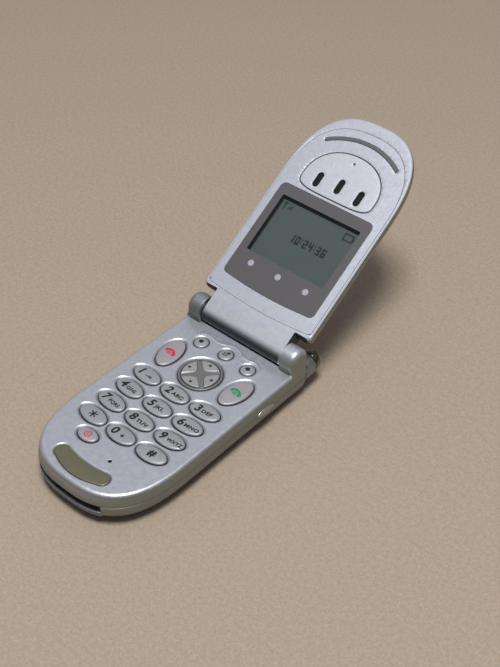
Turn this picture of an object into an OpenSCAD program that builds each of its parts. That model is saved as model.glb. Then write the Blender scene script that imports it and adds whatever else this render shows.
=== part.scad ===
/* [Base] */
// Half width of the base outline at the keypad face
base_a = 22; // [21.8:0.1:22.2]
// Length of the curved microphone end, from where the straight sides stop
base_b = 28.1; // [27.8:0.1:28.4]
// How square the curved microphone end is
base_n = 2.8; // [2.6:0.1:3]
// Thickness of the printed circuit board
board_t = 0.8; // [0.6:0.1:0.8]

/* [Lid] */
// Angle of the open lid from closed
open_angle = 147.2; // [120:0.2:150]
// Half width of the lid outline at its inner face
lid_a = 21.9; // [21.7:0.1:22]
// Length of the lid's curved end
lid_b = 30; // [29.6:0.1:30.2]
// Distance from the hinge axis to the lid's inner face
lid_offset = 2.88; // [2.8:0.02:3]

/* [Keys] */
// Half length of an oval number key
key_a = 5.3; // [5:0.1:5.4]
// Half height of an oval number key
key_b = 2.9; // [2.7:0.1:3]
// Gap between a key and its opening
key_gap = 0.2; // [0.15:0.05:0.25]
// Height of the key tops over the underside of the base
key_top = 12.75; // [12.6:0.05:12.8]
// Distance between number key columns
col_pitch = 12; // [11.8:0.1:12.1]
// Distance between number key rows
row_pitch = 7.6; // [7.5:0.1:7.7]
// Tilt of the keys in the outer columns
key_tilt = 5; // [3:1:6]

/* [Battery] */
// Half width of the battery block
batt_a = 16.8; // [15:0.1:17]
// Battery thickness
batt_t = 4.1; // [3.6:0.1:4.2]

/* [Hidden] */
H = 12.5;
PZ = 8;
AY = 36.6;
AZ = 15.9;
TH = 180 - open_angle;
BY0 = -12.5;
ROLL = [3.9, 3.13, -0.25];
KNUCKLE = 4.2;
KX0 = 16.6;
KX1 = 22.3;
BACK = 40.9;
AX = 18.3;
AZ2 = 7.6;
PANEL_BOT = 1.2;
LU0 = 50;
E = 0.01;

silver = [0.74, 0.75, 0.8];
silver_lid = [0.8, 0.82, 0.88];
olive = [0.47, 0.48, 0.44];
keyc = [0.66, 0.66, 0.7];
dark = [0.12, 0.12, 0.13];
lensc = [0.33, 0.32, 0.34];
green = [0.1, 0.36, 0.22];
steel = [0.7, 0.7, 0.72];
gold = [0.8, 0.65, 0.3];

// signed power, for superellipses
function sp(v, e) = v < 0 ? -pow(-v, e) : pow(v, e);

// base outline: straight sides, curved microphone end at -Y, rounded rear corners
function base_outline(a, b, yb, rc, nf = 36) = concat(
  [for (i = [0:nf]) let (t = 180 + 180 * i / nf)
    [a * sp(cos(t), 2 / base_n), BY0 + b * sp(sin(t), 2 / base_n)]],
  [for (i = [0:4]) [a - rc + rc * cos(i * 22.5), yb - rc + rc * sin(i * 22.5)]],
  [for (i = [0:4]) [-a + rc + rc * cos(90 + i * 22.5), yb - rc + rc * sin(90 + i * 22.5)]]);

// lid outline, in the lid's own plane: u runs from the hinge axis to the tip
function lid_outline(a, b, us, rc, n = 2.7, nf = 36) = concat(
  [for (i = [0:nf]) let (t = 180 * i / nf)
    [a * sp(cos(t), 2 / n), LU0 + b * sp(sin(t), 2 / n)]],
  [for (i = [0:4]) [-a + rc + rc * cos(180 + i * 22.5), us + rc + rc * sin(180 + i * 22.5)]],
  [for (i = [0:4]) [a - rc + rc * cos(270 + i * 22.5), us + rc + rc * sin(270 + i * 22.5)]]);

// plain ellipse with straight facets
function oval(a, b, n = 32) = [for (i = [0:n - 1]) [a * cos(360 * i / n), b * sin(360 * i / n)]];

// D outline of the ear pad: domed on top, nearly flat below
function ear_outline(d = 0) = concat(
  [for (i = [0:20]) let (t = 180 * i / 20)
    [(14.2 + d) * sp(cos(t), 0.93), 55 + (12 + d) * sp(sin(t), 0.93)]],
  [for (i = [1:15]) let (t = 180 + 180 * i / 16)
    [(14.2 + d) * sp(cos(t), 0.5), 55 + (4.7 + d) * sp(sin(t), 0.5)]]);

// kidney outline of the badge
function badge_outline(d = 0) = concat(
  [for (i = [0:12]) let (x = -8.2 + 16.4 * i / 12) [x, -36.3 + 0.022 * x * x - (2.8 - 0.006 * x * x) - d]],
  [for (i = [1:9]) [8.2 + (2.4 + d) * cos(-90 + 18 * i), -34.82 + (2.4 + d) * sin(-90 + 18 * i)]],
  [for (i = [0:12]) let (x = 8.2 - 16.4 * i / 12) [x, -36.3 + 0.022 * x * x + (2.8 - 0.006 * x * x) + d]],
  [for (i = [1:9]) [-8.2 + (2.4 + d) * cos(90 + 18 * i), -34.82 + (2.4 + d) * sin(90 + 18 * i)]]);

// solid through a stack of equal-count outlines, each at its own height
module loft(rings, zs) {
  n = len(rings[0]);
  m = len(rings);
  polyhedron(
    points = [for (i = [0:m - 1]) for (p = rings[i]) [p[0], p[1], zs[i]]],
    faces = concat(
      [for (i = [0:m - 2]) for (j = [0:n - 1]) let (k = (j + 1) % n) [i * n + j, (i + 1) * n + j, (i + 1) * n + k]],
      [for (i = [0:m - 2]) for (j = [0:n - 1]) let (k = (j + 1) % n) [i * n + j, (i + 1) * n + k, i * n + k]],
      [[for (j = [0:n - 1]) j]],
      [[for (j = [0:n - 1]) (m - 1) * n + n - 1 - j]]),
    convexity = 4);
}

// heights of the base hull with its half width, front reach and rear end
LO = [[0, 16.2, 21.5, 35], [0.2, 17.3, 23, 36.2], [0.7, 18.5, 24.8, 37.5], [1.6, 19.9, 26.8, 38.8],
      [3, 21.2, 28.4, 40], [4.6, 22, 29.3, 40.7], [6.2, 22.4, 29.7, BACK], [PZ, 22.5, 29.8, BACK]];
HI = [[PZ, 22.5, 29.8, BACK], [9.6, 22.5, 29.5, BACK], [11.2, 22.4, 28.9, BACK],
      [12.1, base_a + 0.1, base_b + 0.1, BACK], [H, base_a - 0.6, base_b - 0.6, BACK - 0.6]];

module hull_of(L) {
  loft([for (l = L) base_outline(l[1], l[2], l[3], 2.2)], [for (l = L) l[0]]);
}

// places children in the lid's plane at its open rest angle
module in_lid() {
  translate([0, AY, AZ]) rotate([TH, 0, 0]) children();
}

// extrudes a profile drawn in the Y-Z plane along X
module along_x(x0, x1) {
  translate([x0, 0, 0]) rotate([90, 0, 90]) linear_extrude(height = x1 - x0) children();
}

module xcyl(x0, x1, r, y = AY, z = AZ) {
  translate([x0, y, z]) rotate([0, 90, 0]) cylinder(h = x1 - x0, r = r, $fn = 48);
}

module ycyl(y0, y1, r, x = AX, z = AZ2) {
  translate([x, y1, z]) rotate([90, 0, 0]) cylinder(h = y1 - y0, r = r, $fn = 40);
}

module block(x0, x1, y0, y1, z0, z1) {
  translate([x0, y0, z0]) cube([x1 - x0, y1 - y0, z1 - z0]);
}

// key centres: column -1..1, row 0..3
function kpos(c, r) = [c * col_pitch, 3.9 - r * row_pitch - (c == 0 ? 0.36 : 0)];
SCREWS = [[-15.6, -26.5], [15.6, -26.5], [-16, 36.4], [11.6, 36.4]];

module at_key(c, r) {
  p = kpos(c, r);
  translate([p[0], p[1], 0]) rotate([0, 0, c * key_tilt]) children();
}

module all_key_spots(d) {
  for (c = [-1:1]) for (r = [0:3]) at_key(c, r) polygon(oval(key_a + d, key_b + d));
  for (s = [-1, 1]) translate([s * 13.7, 16.1]) rotate([0, 0, -s * 8]) polygon(oval(3.6 + d, 6.5 + d));
  translate([-7.3, -25.6]) polygon(oval(3.65 + d, 2.35 + d));
  for (s = [-1, 1]) translate([s * 9.75, 26.1]) circle(r = 2.45 + d, $fn = 36);
  translate([0, 26.9]) circle(r = 2.45 + d, $fn = 36);
  translate([0, 15.05]) circle(r = 7.05 + d, $fn = 48);
}

// a key: flange under the face, straight stem and a bevelled cap
module key_body(a, b) {
  translate([0, 0, 10.7]) linear_extrude(height = 0.45) polygon(oval(a + 0.42, b + 0.5));
  translate([0, 0, 11.1]) linear_extrude(height = key_top - 11.1 - 0.3) polygon(oval(a, b));
  translate([0, 0, key_top - 0.3 - E]) linear_extrude(height = 0.3) polygon(oval(a - 0.5, b - 0.45));
}

module round_key(r) {
  translate([0, 0, 10.7]) cylinder(h = 0.45, r = r + 0.45, $fn = 36);
  translate([0, 0, 11.1]) cylinder(h = key_top - 11.1 - 0.25, r = r, $fn = 36);
  translate([0, 0, key_top - 0.25 - E]) cylinder(h = 0.25, r = r - 0.35, $fn = 36);
}

module number_key(c, r) {
  color(keyc) at_key(c, r) key_body(key_a, key_b);
}

module front_housing() {
  color(silver) difference() {
    union() {
      difference() {
        hull_of(HI);
        // the cradle that the lid's barrel turns in
        block(-30, 30, 33.3, 50, 11.4, 14);
        block(-KX0, KX0, 33.8, 50, 11.4, 14);
      }
      difference() {
        block(-KX0, KX0, 33, 33.8, 11, H);
        block(-30, 30, 30, 50, H, 20);
      }
      // two knuckles that carry the hinge
      for (s = [-1, 1]) {
        x0 = s > 0 ? KX0 : -KX1;
        xcyl(x0, x0 + KX1 - KX0, KNUCKLE);
        block(x0, x0 + KX1 - KX0, 33.1, AY + KNUCKLE, PZ + 2, AZ);
      }
    }
    // inside of the shell
    translate([0, 0, PZ - E]) linear_extrude(height = 3.3 + E) polygon(base_outline(21, 27.7, 32.6, 1.5));
    block(-21, 21, 30, 39.5, PZ - E, 10.3);
    // key openings
    translate([0, 0, 11]) linear_extrude(height = 3) all_key_spots(key_gap);
    translate([0, 15.05, 11]) cylinder(h = 0.62, r = 7.95, $fn = 48);
    // badge recess, microphone hole and connector mouth
    translate([0, 0, 12.05]) linear_extrude(height = 1) polygon(badge_outline(0.06));
    translate([5.1, -28.7, 11]) cylinder(h = 3, r = 0.45, $fn = 24);
    block(-12.4, 12.4, -46, -38, PZ - 1, PZ + 0.5);
    // hinge bores
    xcyl(-21.2, -16, 2);
    xcyl(16, 21.2, 2);
    // side keys
    block(20, 24, 15.6, 24, PZ - 1, PZ + 1.55);
    block(-24, -20, 12.3, 26.7, PZ - 1, PZ + 1.35);
    // antenna neck
    ycyl(36, 42, 2.05);
  }
  color(silver) difference() {
    for (p = SCREWS) translate([p[0], p[1], PZ + 0.1]) cylinder(h = p[1] > 0 ? 2.3 : 3.3, r = 1.7, $fn = 32);
    for (p = SCREWS) translate([p[0], p[1], PZ]) cylinder(h = 2.2, r = 0.6, $fn = 32);
  }
}

module rear_housing() {
  color(olive) difference() {
    hull_of(LO);
    // the battery cover's share of the hull
    block(-30, 30, -60, 26, -1, 3.6);
    // space under the keypad
    translate([0, 0, 6.6]) linear_extrude(height = 2) polygon(base_outline(21, 27.7, 39.2, 1.5));
    // battery bay, and deeper room at both ends
    block(-17.4, 17.4, -22.5, 24.5, -1, 5.8);
    translate([0, 0, 4.6]) linear_extrude(height = 3) intersection() {
      polygon(base_outline(19, 25.4, 39, 2));
      translate([-30, -34]) square([60, 10]);
    }
    block(-17.5, 15.5, 26.4, 39, 4.2, 7);
    // window for the card holder
    block(-13.6, 3.6, -16.6, 6.6, 5, 7);
    // connector mouth
    block(-12.4, 12.4, -46, -33, PZ - 2.5, PZ + 1);
    // room for the latch
    block(-5.2, 5.2, 27, 31, -1, 3.3);
    block(-3.2, 3.2, 24.2, 27.2, 1.15, 3.7);
    // screws
    for (p = SCREWS) {
      translate([p[0], p[1], -1]) cylinder(h = p[1] > 0 ? 5.4 : 5.8, r = 1.75, $fn = 32);
      translate([p[0], p[1], 0]) cylinder(h = 9, r = 0.85, $fn = 32);
    }
    // side keys and antenna neck
    block(20, 24, 15.6, 24, PZ - 1.55, PZ + 1);
    block(-24, -20, 12.3, 26.7, PZ - 1.35, PZ + 1);
    ycyl(36, 42, 2.05);
  }
  color(olive) difference() {
    for (p = SCREWS) translate([p[0], p[1], p[1] > 0 ? 4.1 : 4.5]) cylinder(h = PZ - (p[1] > 0 ? 4.1 : 4.5), r = 2.6, $fn = 32);
    for (p = SCREWS) {
      translate([p[0], p[1], -1]) cylinder(h = p[1] > 0 ? 5.4 : 5.8, r = 1.75, $fn = 32);
      translate([p[0], p[1], 0]) cylinder(h = 9, r = 0.85, $fn = 32);
    }
  }
}

module battery_cover() {
  color(olive) difference() {
    intersection() {
      hull_of(LO);
      block(-30, 30, -60, 25.8, -1, 3.45);
    }
    // room for the battery, open at the rear so that the cover can slide off
    block(-17.6, 17.6, -27, 30, 1.1, 5);
    translate([0, 0, 1.5]) linear_extrude(height = 4) intersection() {
      polygon(base_outline(18.4, 24.4, 39, 2));
      translate([-30, -40]) square([60, 14]);
    }
  }
  // catch rib and guide rails
  color(olive) block(-2.9, 2.9, 25.1, 25.8, 1.05, 1.22);
}

module battery_latch() {
  color(dark) {
    block(-4.8, 4.8, 27.4, 30.6, 0.3, 1.9);
    block(-2.8, 2.8, 24.4, 30, 1.88, 2.3);
  }
}

module battery() {
  color(dark) difference() {
    block(-batt_a, batt_a, -22, 23, 1.3, 1.3 + batt_t);
    for (x = [-4.5, -1.5, 1.5, 4.5]) block(x - 0.8, x + 0.8, 22.8, 23.5, 3.6, 5);
  }
}

module battery_contacts() {
  color(gold) {
    block(-6, 6, 23.3, 24.4, 3.7, 5.7);
    for (x = [-4.5, -1.5, 1.5, 4.5]) block(x - 0.5, x + 0.5, 22.9, 23.4, 4, 4.8);
  }
}

module main_board() {
  color(green) difference() {
    union() {
      block(-18.6, 18.6, -22, 33.2, 8.5, 8.5 + board_t);
      block(-12.6, 12.6, -33, -21, 8.5, 8.5 + board_t);
    }
    translate([-15.6, -24, 8]) cylinder(h = 3, r = 2.6, $fn = 32);
    translate([15.6, -24, 8]) cylinder(h = 3, r = 2.6, $fn = 32);
  }
}

module dome_sheet() {
  color(steel) difference() {
    union() {
      block(-18.4, 18.4, -22, 30.6, 9.35, 9.5);
      block(-12.4, 12.4, -29.6, -21, 9.35, 9.5);
    }
    translate([5.1, -28.7, 9]) cylinder(h = 3, r = 2.5, $fn = 32);
  }
}

module keypad_mat() {
  color([0.85, 0.86, 0.88]) difference() {
    union() {
      block(-19.2, 19.2, -22.4, 30.8, 9.55, 10.05);
      block(-12.4, 12.4, -29.6, -21, 9.55, 10.05);
      translate([0, 0, 10]) linear_extrude(height = 0.2) all_key_spots(-1.2);
    }
    translate([5.1, -28.7, 9]) cylinder(h = 3, r = 2.5, $fn = 32);
  }
}

module rf_shield() {
  color(steel) difference() {
    block(-11, 14.5, 8, 32.6, 6.7, 8.45);
    block(-10.7, 14.2, 8.3, 32.3, 7, 9);
  }
}

module sim_holder() {
  color(steel) difference() {
    block(-13.2, 3.2, -16.2, 6.2, 6, 8.4);
    block(-12.6, 2.6, -17, 5.4, 6.5, 7.6);
    block(-8, -2, -12, 2, 5.5, 6.7);
  }
}

module vibration_motor() {
  color(steel) {
    xcyl(-12.6, -4.6, 1.85, -29.2, 6.55);
    xcyl(-4.8, -2.6, 0.4, -29.2, 6.55);
    intersection() {
      xcyl(-4, -2.4, 1.8, -29.2, 6.55);
      block(-5, 0, -34, -24, 6.2, 9);
    }
  }
}

module ringer() {
  color(dark) translate([7.6, -28.9, 4.7]) difference() {
    cylinder(h = 3.6, r = 4.2, $fn = 48);
    translate([0, 0, -1]) cylinder(h = 1.6, r = 1.2, $fn = 32);
  }
}

module microphone() {
  color(dark) translate([5.1, -28.7, 9.35]) difference() {
    cylinder(h = 1.85, r = 2.2, $fn = 40);
    translate([0, 0, 1.2]) cylinder(h = 2, r = 0.6, $fn = 24);
  }
}

module backup_cell() {
  color(steel) translate([-15, 27.5, 6.8]) {
    cylinder(h = 1.5, r = 3.2, $fn = 40);
  }
}

module accessory_connector() {
  color(dark) difference() {
    block(-11.8, 11.8, -39.6, -33.8, PZ - 2.4, PZ + 0.15);
    block(-10.8, 10.8, -41, -36, PZ - 1.9, PZ - 0.35);
  }
  color(gold) for (i = [-6:6]) block(i * 1.6 - 0.3, i * 1.6 + 0.3, -38.6, -35.9, PZ - 1.91, PZ - 1.7);
}

module badge_plate() {
  color([0.48, 0.47, 0.42]) translate([0, 0, 12.05]) linear_extrude(height = 0.5) polygon(badge_outline(0));
}

module housing_screws() {
  color(steel) for (p = SCREWS) translate([p[0], p[1], p[1] > 0 ? 3.3 : 3.7]) {
    difference() {
      cylinder(h = 1.05, r = 1.6, $fn = 32);
      translate([0, 0, -E]) cylinder(h = 0.6, r = 0.7, $fn = 6);
    }
    translate([0, 0, 1]) cylinder(h = 5.1, r = 0.6, $fn = 32);
  }
}

module antenna_sleeve() {
  color(silver) difference() {
    union() {
      ycyl(BACK, 45.5, 3.9);
      ycyl(37.4, BACK + E, 2);
    }
    ycyl(30, 50, 0.75);
  }
}

module antenna_rod() {
  color(steel) {
    ycyl(-8, 46.7, 0.7);
    ycyl(-9, -7, 0.85);
  }
}

module antenna_cap() {
  color(dark) translate([AX, 45.7, AZ2]) rotate([-90, 0, 0]) rotate_extrude($fn = 40)
    polygon([[0.7, 0], [3.6, 0], [3.75, 0.5], [3.75, 1.6], [3.45, 2.6], [2.8, 3.4], [1.6, 3.95], [0, 4.1], [0, 1], [0.7, 1]]);
}

module hinge_spindle() {
  color(steel) {
    xcyl(-21.1, -16.4, 1.95);
    difference() {
      xcyl(-16.5, -13, 2.34);
      along_x(-13.8, -12.9) polygon([[AY - 3, AZ - 0.5], [AY + 3, AZ - 0.5], [AY + 3, AZ + 0.5], [AY - 3, AZ + 0.5]]);
    }
  }
}

module hinge_bush() {
  color(steel) difference() {
    union() {
      xcyl(16.4, 21.1, 1.95);
      xcyl(13, 16.5, 2.34);
    }
    xcyl(12, 22, 1.45);
  }
}

module nav_pivot() {
  color(dark) translate([0, 15.05, 10.3]) cylinder(h = 0.35, r = 1.3, $fn = 32);
}

module nav_disc() {
  color(keyc) translate([0, 15.05, 0]) difference() {
    union() {
      translate([0, 0, 10.7]) cylinder(h = 0.35, r = 7.7, $fn = 48);
      translate([0, 0, 11]) cylinder(h = 1.3, r = 7, $fn = 48);
      translate([0, 0, 12.25]) cylinder(h = 0.45, r = 6.5, $fn = 48);
      // four pads
      for (a = [0:90:270]) rotate([0, 0, a]) translate([4.3, 0, 12.6]) cylinder(h = 0.15, r = 1.3, $fn = 32);
    }
    // diagonal cross and a shallow dish in the middle
    for (a = [45, 135]) rotate([0, 0, a]) block(-6, 6, -0.75, 0.75, 12.45, 14);
    translate([0, 0, 12.4]) cylinder(h = 2, r = 2.3, $fn = 40);
  }
}

module voice_key() {
  color(silver) {
    translate([22.9, 19.8, PZ]) rotate([0, -90, 0]) rotate([0, 0, 90]) linear_extrude(height = 2.2) polygon(oval(3.9, 1.35));
    block(20.2, 20.8, 15.2, 24.4, PZ - 1.3, PZ + 1.3);
  }
}

module volume_rocker() {
  color(silver) {
    translate([-20.65, 19.5, PZ]) rotate([0, -90, 0]) rotate([0, 0, 90]) linear_extrude(height = 2.25) polygon(oval(6.9, 1.15));
    block(-20.9, -20.2, 16, 23, PZ - 1.1, PZ + 1.1);
    block(-20.7, -20.2, 16, 23, PZ - 1.3, PZ + 1.9);
  }
}

// heights of the lid shell with its half width, tip reach and shoulder
LL = [[-5.2, 7.5, 15, 19], [-5.1, 11.5, 20, 15], [-4.8, 15.2, 24, 12], [-4.2, 18.2, 26.8, 9.8],
      [-3.4, 19.7, 28.6, 8.2], [-2.4, 20.65, 29.7, 7], [-1.2, 21.25, 30.2, 6.5], [0.5, 21.75, 30.2, 6.4],
      [2.45, lid_a, lid_b, 6.8], [lid_offset, lid_a - 0.3, lid_b - 0.35, 7.1]];
LSCREWS = [[-14.6, 16], [14.6, 16], [-12.4, 69.2], [12.4, 69.2]];

// inset panel outline: superellipse tip, gently bowed lower edge
function panel_outline(d = 0) = concat(
  [for (i = [0:36]) let (t = 180 * i / 36)
    [(21.1 + d) * sp(cos(t), 2 / 2.6), LU0 + (25.8 + d) * sp(sin(t), 2 / 2.6)]],
  [for (i = [0:10]) let (x = (21.1 + d) * (-1 + i / 5)) [x, 7.1 - d + 1.3 * pow(x / 21, 2)]]);

// lens outline with rounded corners and a bowed lower edge
function lens_outline(d = 0) = concat(
  [for (i = [0:6]) [16.5 + (2 + d) * cos(15 * i), 47.1 + (2 + d) * sin(15 * i)]],
  [for (i = [0:6]) [-16.5 + (2 + d) * cos(90 + 15 * i), 47.1 + (2 + d) * sin(90 + 15 * i)]],
  [for (i = [0:6]) [-16.7 + (1.8 + d) * cos(180 + 13 * i), 14.8 + (1.8 + d) * sin(180 + 13 * i)]],
  [for (i = [1:9]) let (x = -16 + 3.2 * i) [x, 12.15 - d + 0.0033 * x * x]],
  [for (i = [0:6]) [16.7 + (1.8 + d) * cos(282 + 13 * i), 14.8 + (1.8 + d) * sin(282 + 13 * i)]]);

function strip_outline(w) = concat(
  [for (i = [0:16]) let (t = 57.3 + 65.4 * i / 16) [(25.95 + w) * cos(t), 46.4 + (25.95 + w) * sin(t)]],
  [for (i = [1:5]) let (t = 122.7, s = t + 30 * i) [25.95 * cos(t) + w * cos(s), 46.4 + 25.95 * sin(t) + w * sin(s)]],
  [for (i = [0:16]) let (t = 122.7 - 65.4 * i / 16) [(25.95 - w) * cos(t), 46.4 + (25.95 - w) * sin(t)]],
  [for (i = [1:5]) let (t = 57.3, s = t + 180 + 30 * i) [25.95 * cos(t) + w * cos(s), 46.4 + 25.95 * sin(t) + w * sin(s)]]);

module slab(w0, w1) {
  translate([0, 0, w0]) linear_extrude(height = w1 - w0) children();
}

module lid_outer_shell() {
  color(silver_lid) in_lid() difference() {
    union() {
      difference() {
        loft([for (l = LL) lid_outline(l[1], l[2], l[3], 1.2)], [for (l = LL) l[0]]);
        // inside of the shell and the seat of the inset panel
        slab(-2.4, 4) polygon(lid_outline(19.6, 26.2, 9, 1.2));
        slab(-3.8, 0) polygon(lid_outline(16.6, 22.5, 12.5, 1.2));
        slab(PANEL_BOT - 0.05, 5) polygon(panel_outline(0.08));
      }
      // neck and hinge barrel
      difference() {
        along_x(-16.3, 16.3) polygon([[0, ROLL[2] - ROLL[1]], [4, -3.6], [9.5, -4], [9.5, 0.9], [7.5, PANEL_BOT - 0.05], [7, lid_offset], [0, lid_offset]]);
        slab(PANEL_BOT - 0.05, 5) polygon(panel_outline(0.08));
      }
      along_x(-16.3, 16.3) polygon([for (t = [90:6:270]) [ROLL[0] * cos(t), ROLL[2] + ROLL[1] * sin(t)]]);
      // screw posts
      for (p = LSCREWS) translate([p[0], p[1], -3.9]) cylinder(h = 5, r = 1.5, $fn = 32);
    }
    for (p = LSCREWS) translate([p[0], p[1], -3]) cylinder(h = 6, r = 0.6, $fn = 32);
    // bores of the barrel and the cable's way in
    xcyl(-17, -1.5, 2.4, 0, 0);
    xcyl(2.5, 17, 2.4, 0, 0);
    block(3.4, 10.6, 0, 9.6, -0.5, 0.5);
  }
}

module lid_face_panel() {
  color(silver_lid) in_lid() difference() {
    slab(PANEL_BOT, lid_offset - 0.03) polygon(panel_outline(-0.08));
    slab(2, 4) polygon(lens_outline(0.06));
    slab(0, 4) translate([-16.2, 22.8]) square([32.4, 22.7]);
    slab(2.15, 4) polygon(ear_outline(0.12));
    slab(0, 4) translate([0, 58]) circle(r = 5, $fn = 40);
    slab(2.3, 4) polygon(strip_outline(0.78));
    for (p = LSCREWS) translate([p[0], p[1], p[1] < 20 ? 1.45 : 1.7]) cylinder(h = 4, r = 1.35, $fn = 32);
    for (p = LSCREWS) translate([p[0], p[1], 0]) cylinder(h = 4, r = 0.75, $fn = 32);
  }
}

module display_lens() {
  color(lensc) in_lid() slab(2.02, 2.84) polygon(lens_outline(0));
}

module lens_gasket() {
  color(dark) in_lid() difference() {
    slab(1.15, 1.97) translate([-16.15, 22.85]) square([32.3, 22.6]);
    slab(0, 4) translate([-15.75, 23.2]) square([31.5, 21.9]);
  }
}

module lcd_module() {
  color([0.42, 0.5, 0.47]) in_lid() slab(-0.6, 1.1) translate([-17, 21]) square([34, 26.4]);
}

module ear_pad() {
  color([0.86, 0.87, 0.92]) in_lid() difference() {
    slab(2.18, 2.98) polygon(ear_outline(0));
    for (p = [[-8, 54.6], [0.1, 55.4], [8.4, 54.5]]) for (s = [-1, 1])
      translate([p[0], p[1] + s * 1.5, 0]) cylinder(h = 4, r = 1.3, $fn = 32);
    for (p = [[-8, 54.6], [0.1, 55.4], [8.4, 54.5]]) block(p[0] - 1.3, p[0] + 1.3, p[1] - 1.5, p[1] + 1.5, 0, 4);
    translate([0, 64.4, 0]) cylinder(h = 4, r = 0.35, $fn = 24);
  }
}

module earpiece_speaker() {
  color(dark) in_lid() translate([0, 58, -1.9]) {
    cylinder(h = 3, r = 6.4, $fn = 48);
    difference() {
      cylinder(h = 3.6, r = 4.6, $fn = 48);
      translate([0, 0, 3.2]) cylinder(h = 1, r = 3.8, $fn = 48);
    }
  }
}

module lid_strip() {
  color([0.3, 0.3, 0.32]) in_lid() slab(2.32, 3.05) polygon(strip_outline(0.7));
}

module lid_board() {
  color(green) in_lid() slab(-1.9, -0.9) difference() {
    translate([-16, 13]) square([32, 36]);
    for (s = [-1, 1]) translate([s * 14.6, 16]) circle(r = 2, $fn = 32);
  }
}

module lid_screws() {
  color(steel) in_lid() for (p = LSCREWS) translate([p[0], p[1], 0]) {
    translate([0, 0, p[1] < 20 ? 1.46 : 1.72]) difference() {
      cylinder(h = 0.5, r = 1.25, $fn = 32);
      translate([0, 0, 0.2]) cylinder(h = 1, r = 0.55, $fn = 6);
    }
    translate([0, 0, -2.6]) cylinder(h = p[1] < 20 ? 4.1 : 4.4, r = 0.58, $fn = 32);
  }
}

module hinge_cam() {
  color(steel) in_lid() {
    xcyl(-12.7, -10.4, 2.36, 0, 0);
    xcyl(-10.5, -3.2, 0.9, 0, 0);
  }
}

// round wire coil along X, computed as a swept ring
module hinge_spring() {
  turns = 6;
  seg = 14;
  ns = 6;
  n = turns * seg;
  wr = 0.26;
  rr = 1.7;
  x0 = -10;
  x1 = -2.2;
  pts = [for (i = [0:n]) for (k = [0:ns - 1]) let (a = 360 * i / seg, b = 360 * k / ns, q = rr + wr * cos(b))
    [x0 + (x1 - x0) * i / n + wr * sin(b), q * cos(a), q * sin(a)]];
  color(steel) in_lid() polyhedron(points = pts, faces = concat(
    [for (i = [0:n - 1]) for (k = [0:ns - 1]) let (m = (k + 1) % ns) [i * ns + k, (i + 1) * ns + k, (i + 1) * ns + m]],
    [for (i = [0:n - 1]) for (k = [0:ns - 1]) let (m = (k + 1) % ns) [i * ns + k, (i + 1) * ns + m, i * ns + m]],
    [[for (k = [0:ns - 1]) k]],
    [[for (k = [0:ns - 1]) n * ns + ns - 1 - k]]), convexity = 10);
}

module flex_cable() {
  color([0.75, 0.45, 0.12]) in_lid() {
    difference() {
      xcyl(3.6, 20.8, 1.2, 0, 0);
      xcyl(3, 21, 0.95, 0, 0);
    }
    block(3.6, 10.4, 1.05, 12.8, -0.15, 0.1);
  }
}

front_housing();
rear_housing();
keypad_mat();
dome_sheet();
main_board();
rf_shield();
microphone();
ringer();
vibration_motor();
sim_holder();
accessory_connector();
battery_contacts();
badge_plate();
housing_screws();
antenna_sleeve();
hinge_spindle();
hinge_bush();
backup_cell();
battery();
number_key(-1, 0);  // key_1
number_key(0, 0);  // key_2
number_key(1, 0);  // key_3
number_key(-1, 1);  // key_4
number_key(0, 1);  // key_5
number_key(1, 1);  // key_6
number_key(-1, 2);  // key_7
number_key(0, 2);  // key_8
number_key(1, 2);  // key_9
number_key(-1, 3);  // key_star
number_key(0, 3);  // key_0
number_key(1, 3);  // key_hash
color(keyc) translate([-13.7, 16.1, 0]) rotate([0, 0, 8]) key_body(3.6, 6.5);  // key_end
color(keyc) translate([13.7, 16.1, 0]) rotate([0, 0, -8]) key_body(3.6, 6.5);  // key_send
color(keyc) translate([-7.3, -25.6, 0]) key_body(3.65, 2.35);  // key_power
color(keyc) translate([-9.75, 26.1, 0]) round_key(2.45);  // soft_key_left
color(keyc) translate([0, 26.9, 0]) round_key(2.45);  // menu_key
color(keyc) translate([9.75, 26.1, 0]) round_key(2.45);  // soft_key_right
nav_pivot();
nav_disc();
voice_key();
volume_rocker();
antenna_rod();
antenna_cap();
battery_cover();
battery_latch();
lid_outer_shell();
lid_face_panel();
display_lens();
lens_gasket();
lcd_module();
ear_pad();
earpiece_speaker();
lid_strip();
lid_board();
lid_screws();
hinge_cam();
hinge_spring();
flex_cable();
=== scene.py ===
import math

import bmesh
import bpy
import numpy as np
from mathutils import Matrix, Vector
from mathutils.geometry import delaunay_2d_cdt


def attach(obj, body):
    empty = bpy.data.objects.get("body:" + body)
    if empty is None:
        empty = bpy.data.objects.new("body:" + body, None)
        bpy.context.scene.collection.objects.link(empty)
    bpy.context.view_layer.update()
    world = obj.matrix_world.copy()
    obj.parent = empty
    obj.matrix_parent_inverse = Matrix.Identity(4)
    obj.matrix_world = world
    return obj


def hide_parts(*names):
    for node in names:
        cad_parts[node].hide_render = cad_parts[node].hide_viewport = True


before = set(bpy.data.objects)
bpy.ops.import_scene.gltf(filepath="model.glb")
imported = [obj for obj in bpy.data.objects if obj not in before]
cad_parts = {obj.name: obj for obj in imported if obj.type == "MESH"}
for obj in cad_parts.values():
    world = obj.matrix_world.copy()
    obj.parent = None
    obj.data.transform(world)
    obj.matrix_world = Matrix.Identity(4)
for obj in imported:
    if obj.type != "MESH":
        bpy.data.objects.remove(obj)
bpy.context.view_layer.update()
MM = 0.001

# ---------------------------------------------------------------- geometry
H = 12.5          # keypad face
PZ = 8.0          # parting line of the base
AY, AZ = 36.6, 15.9   # hinge axis
TH = math.radians(32.8)
BACK = 40.9


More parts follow.
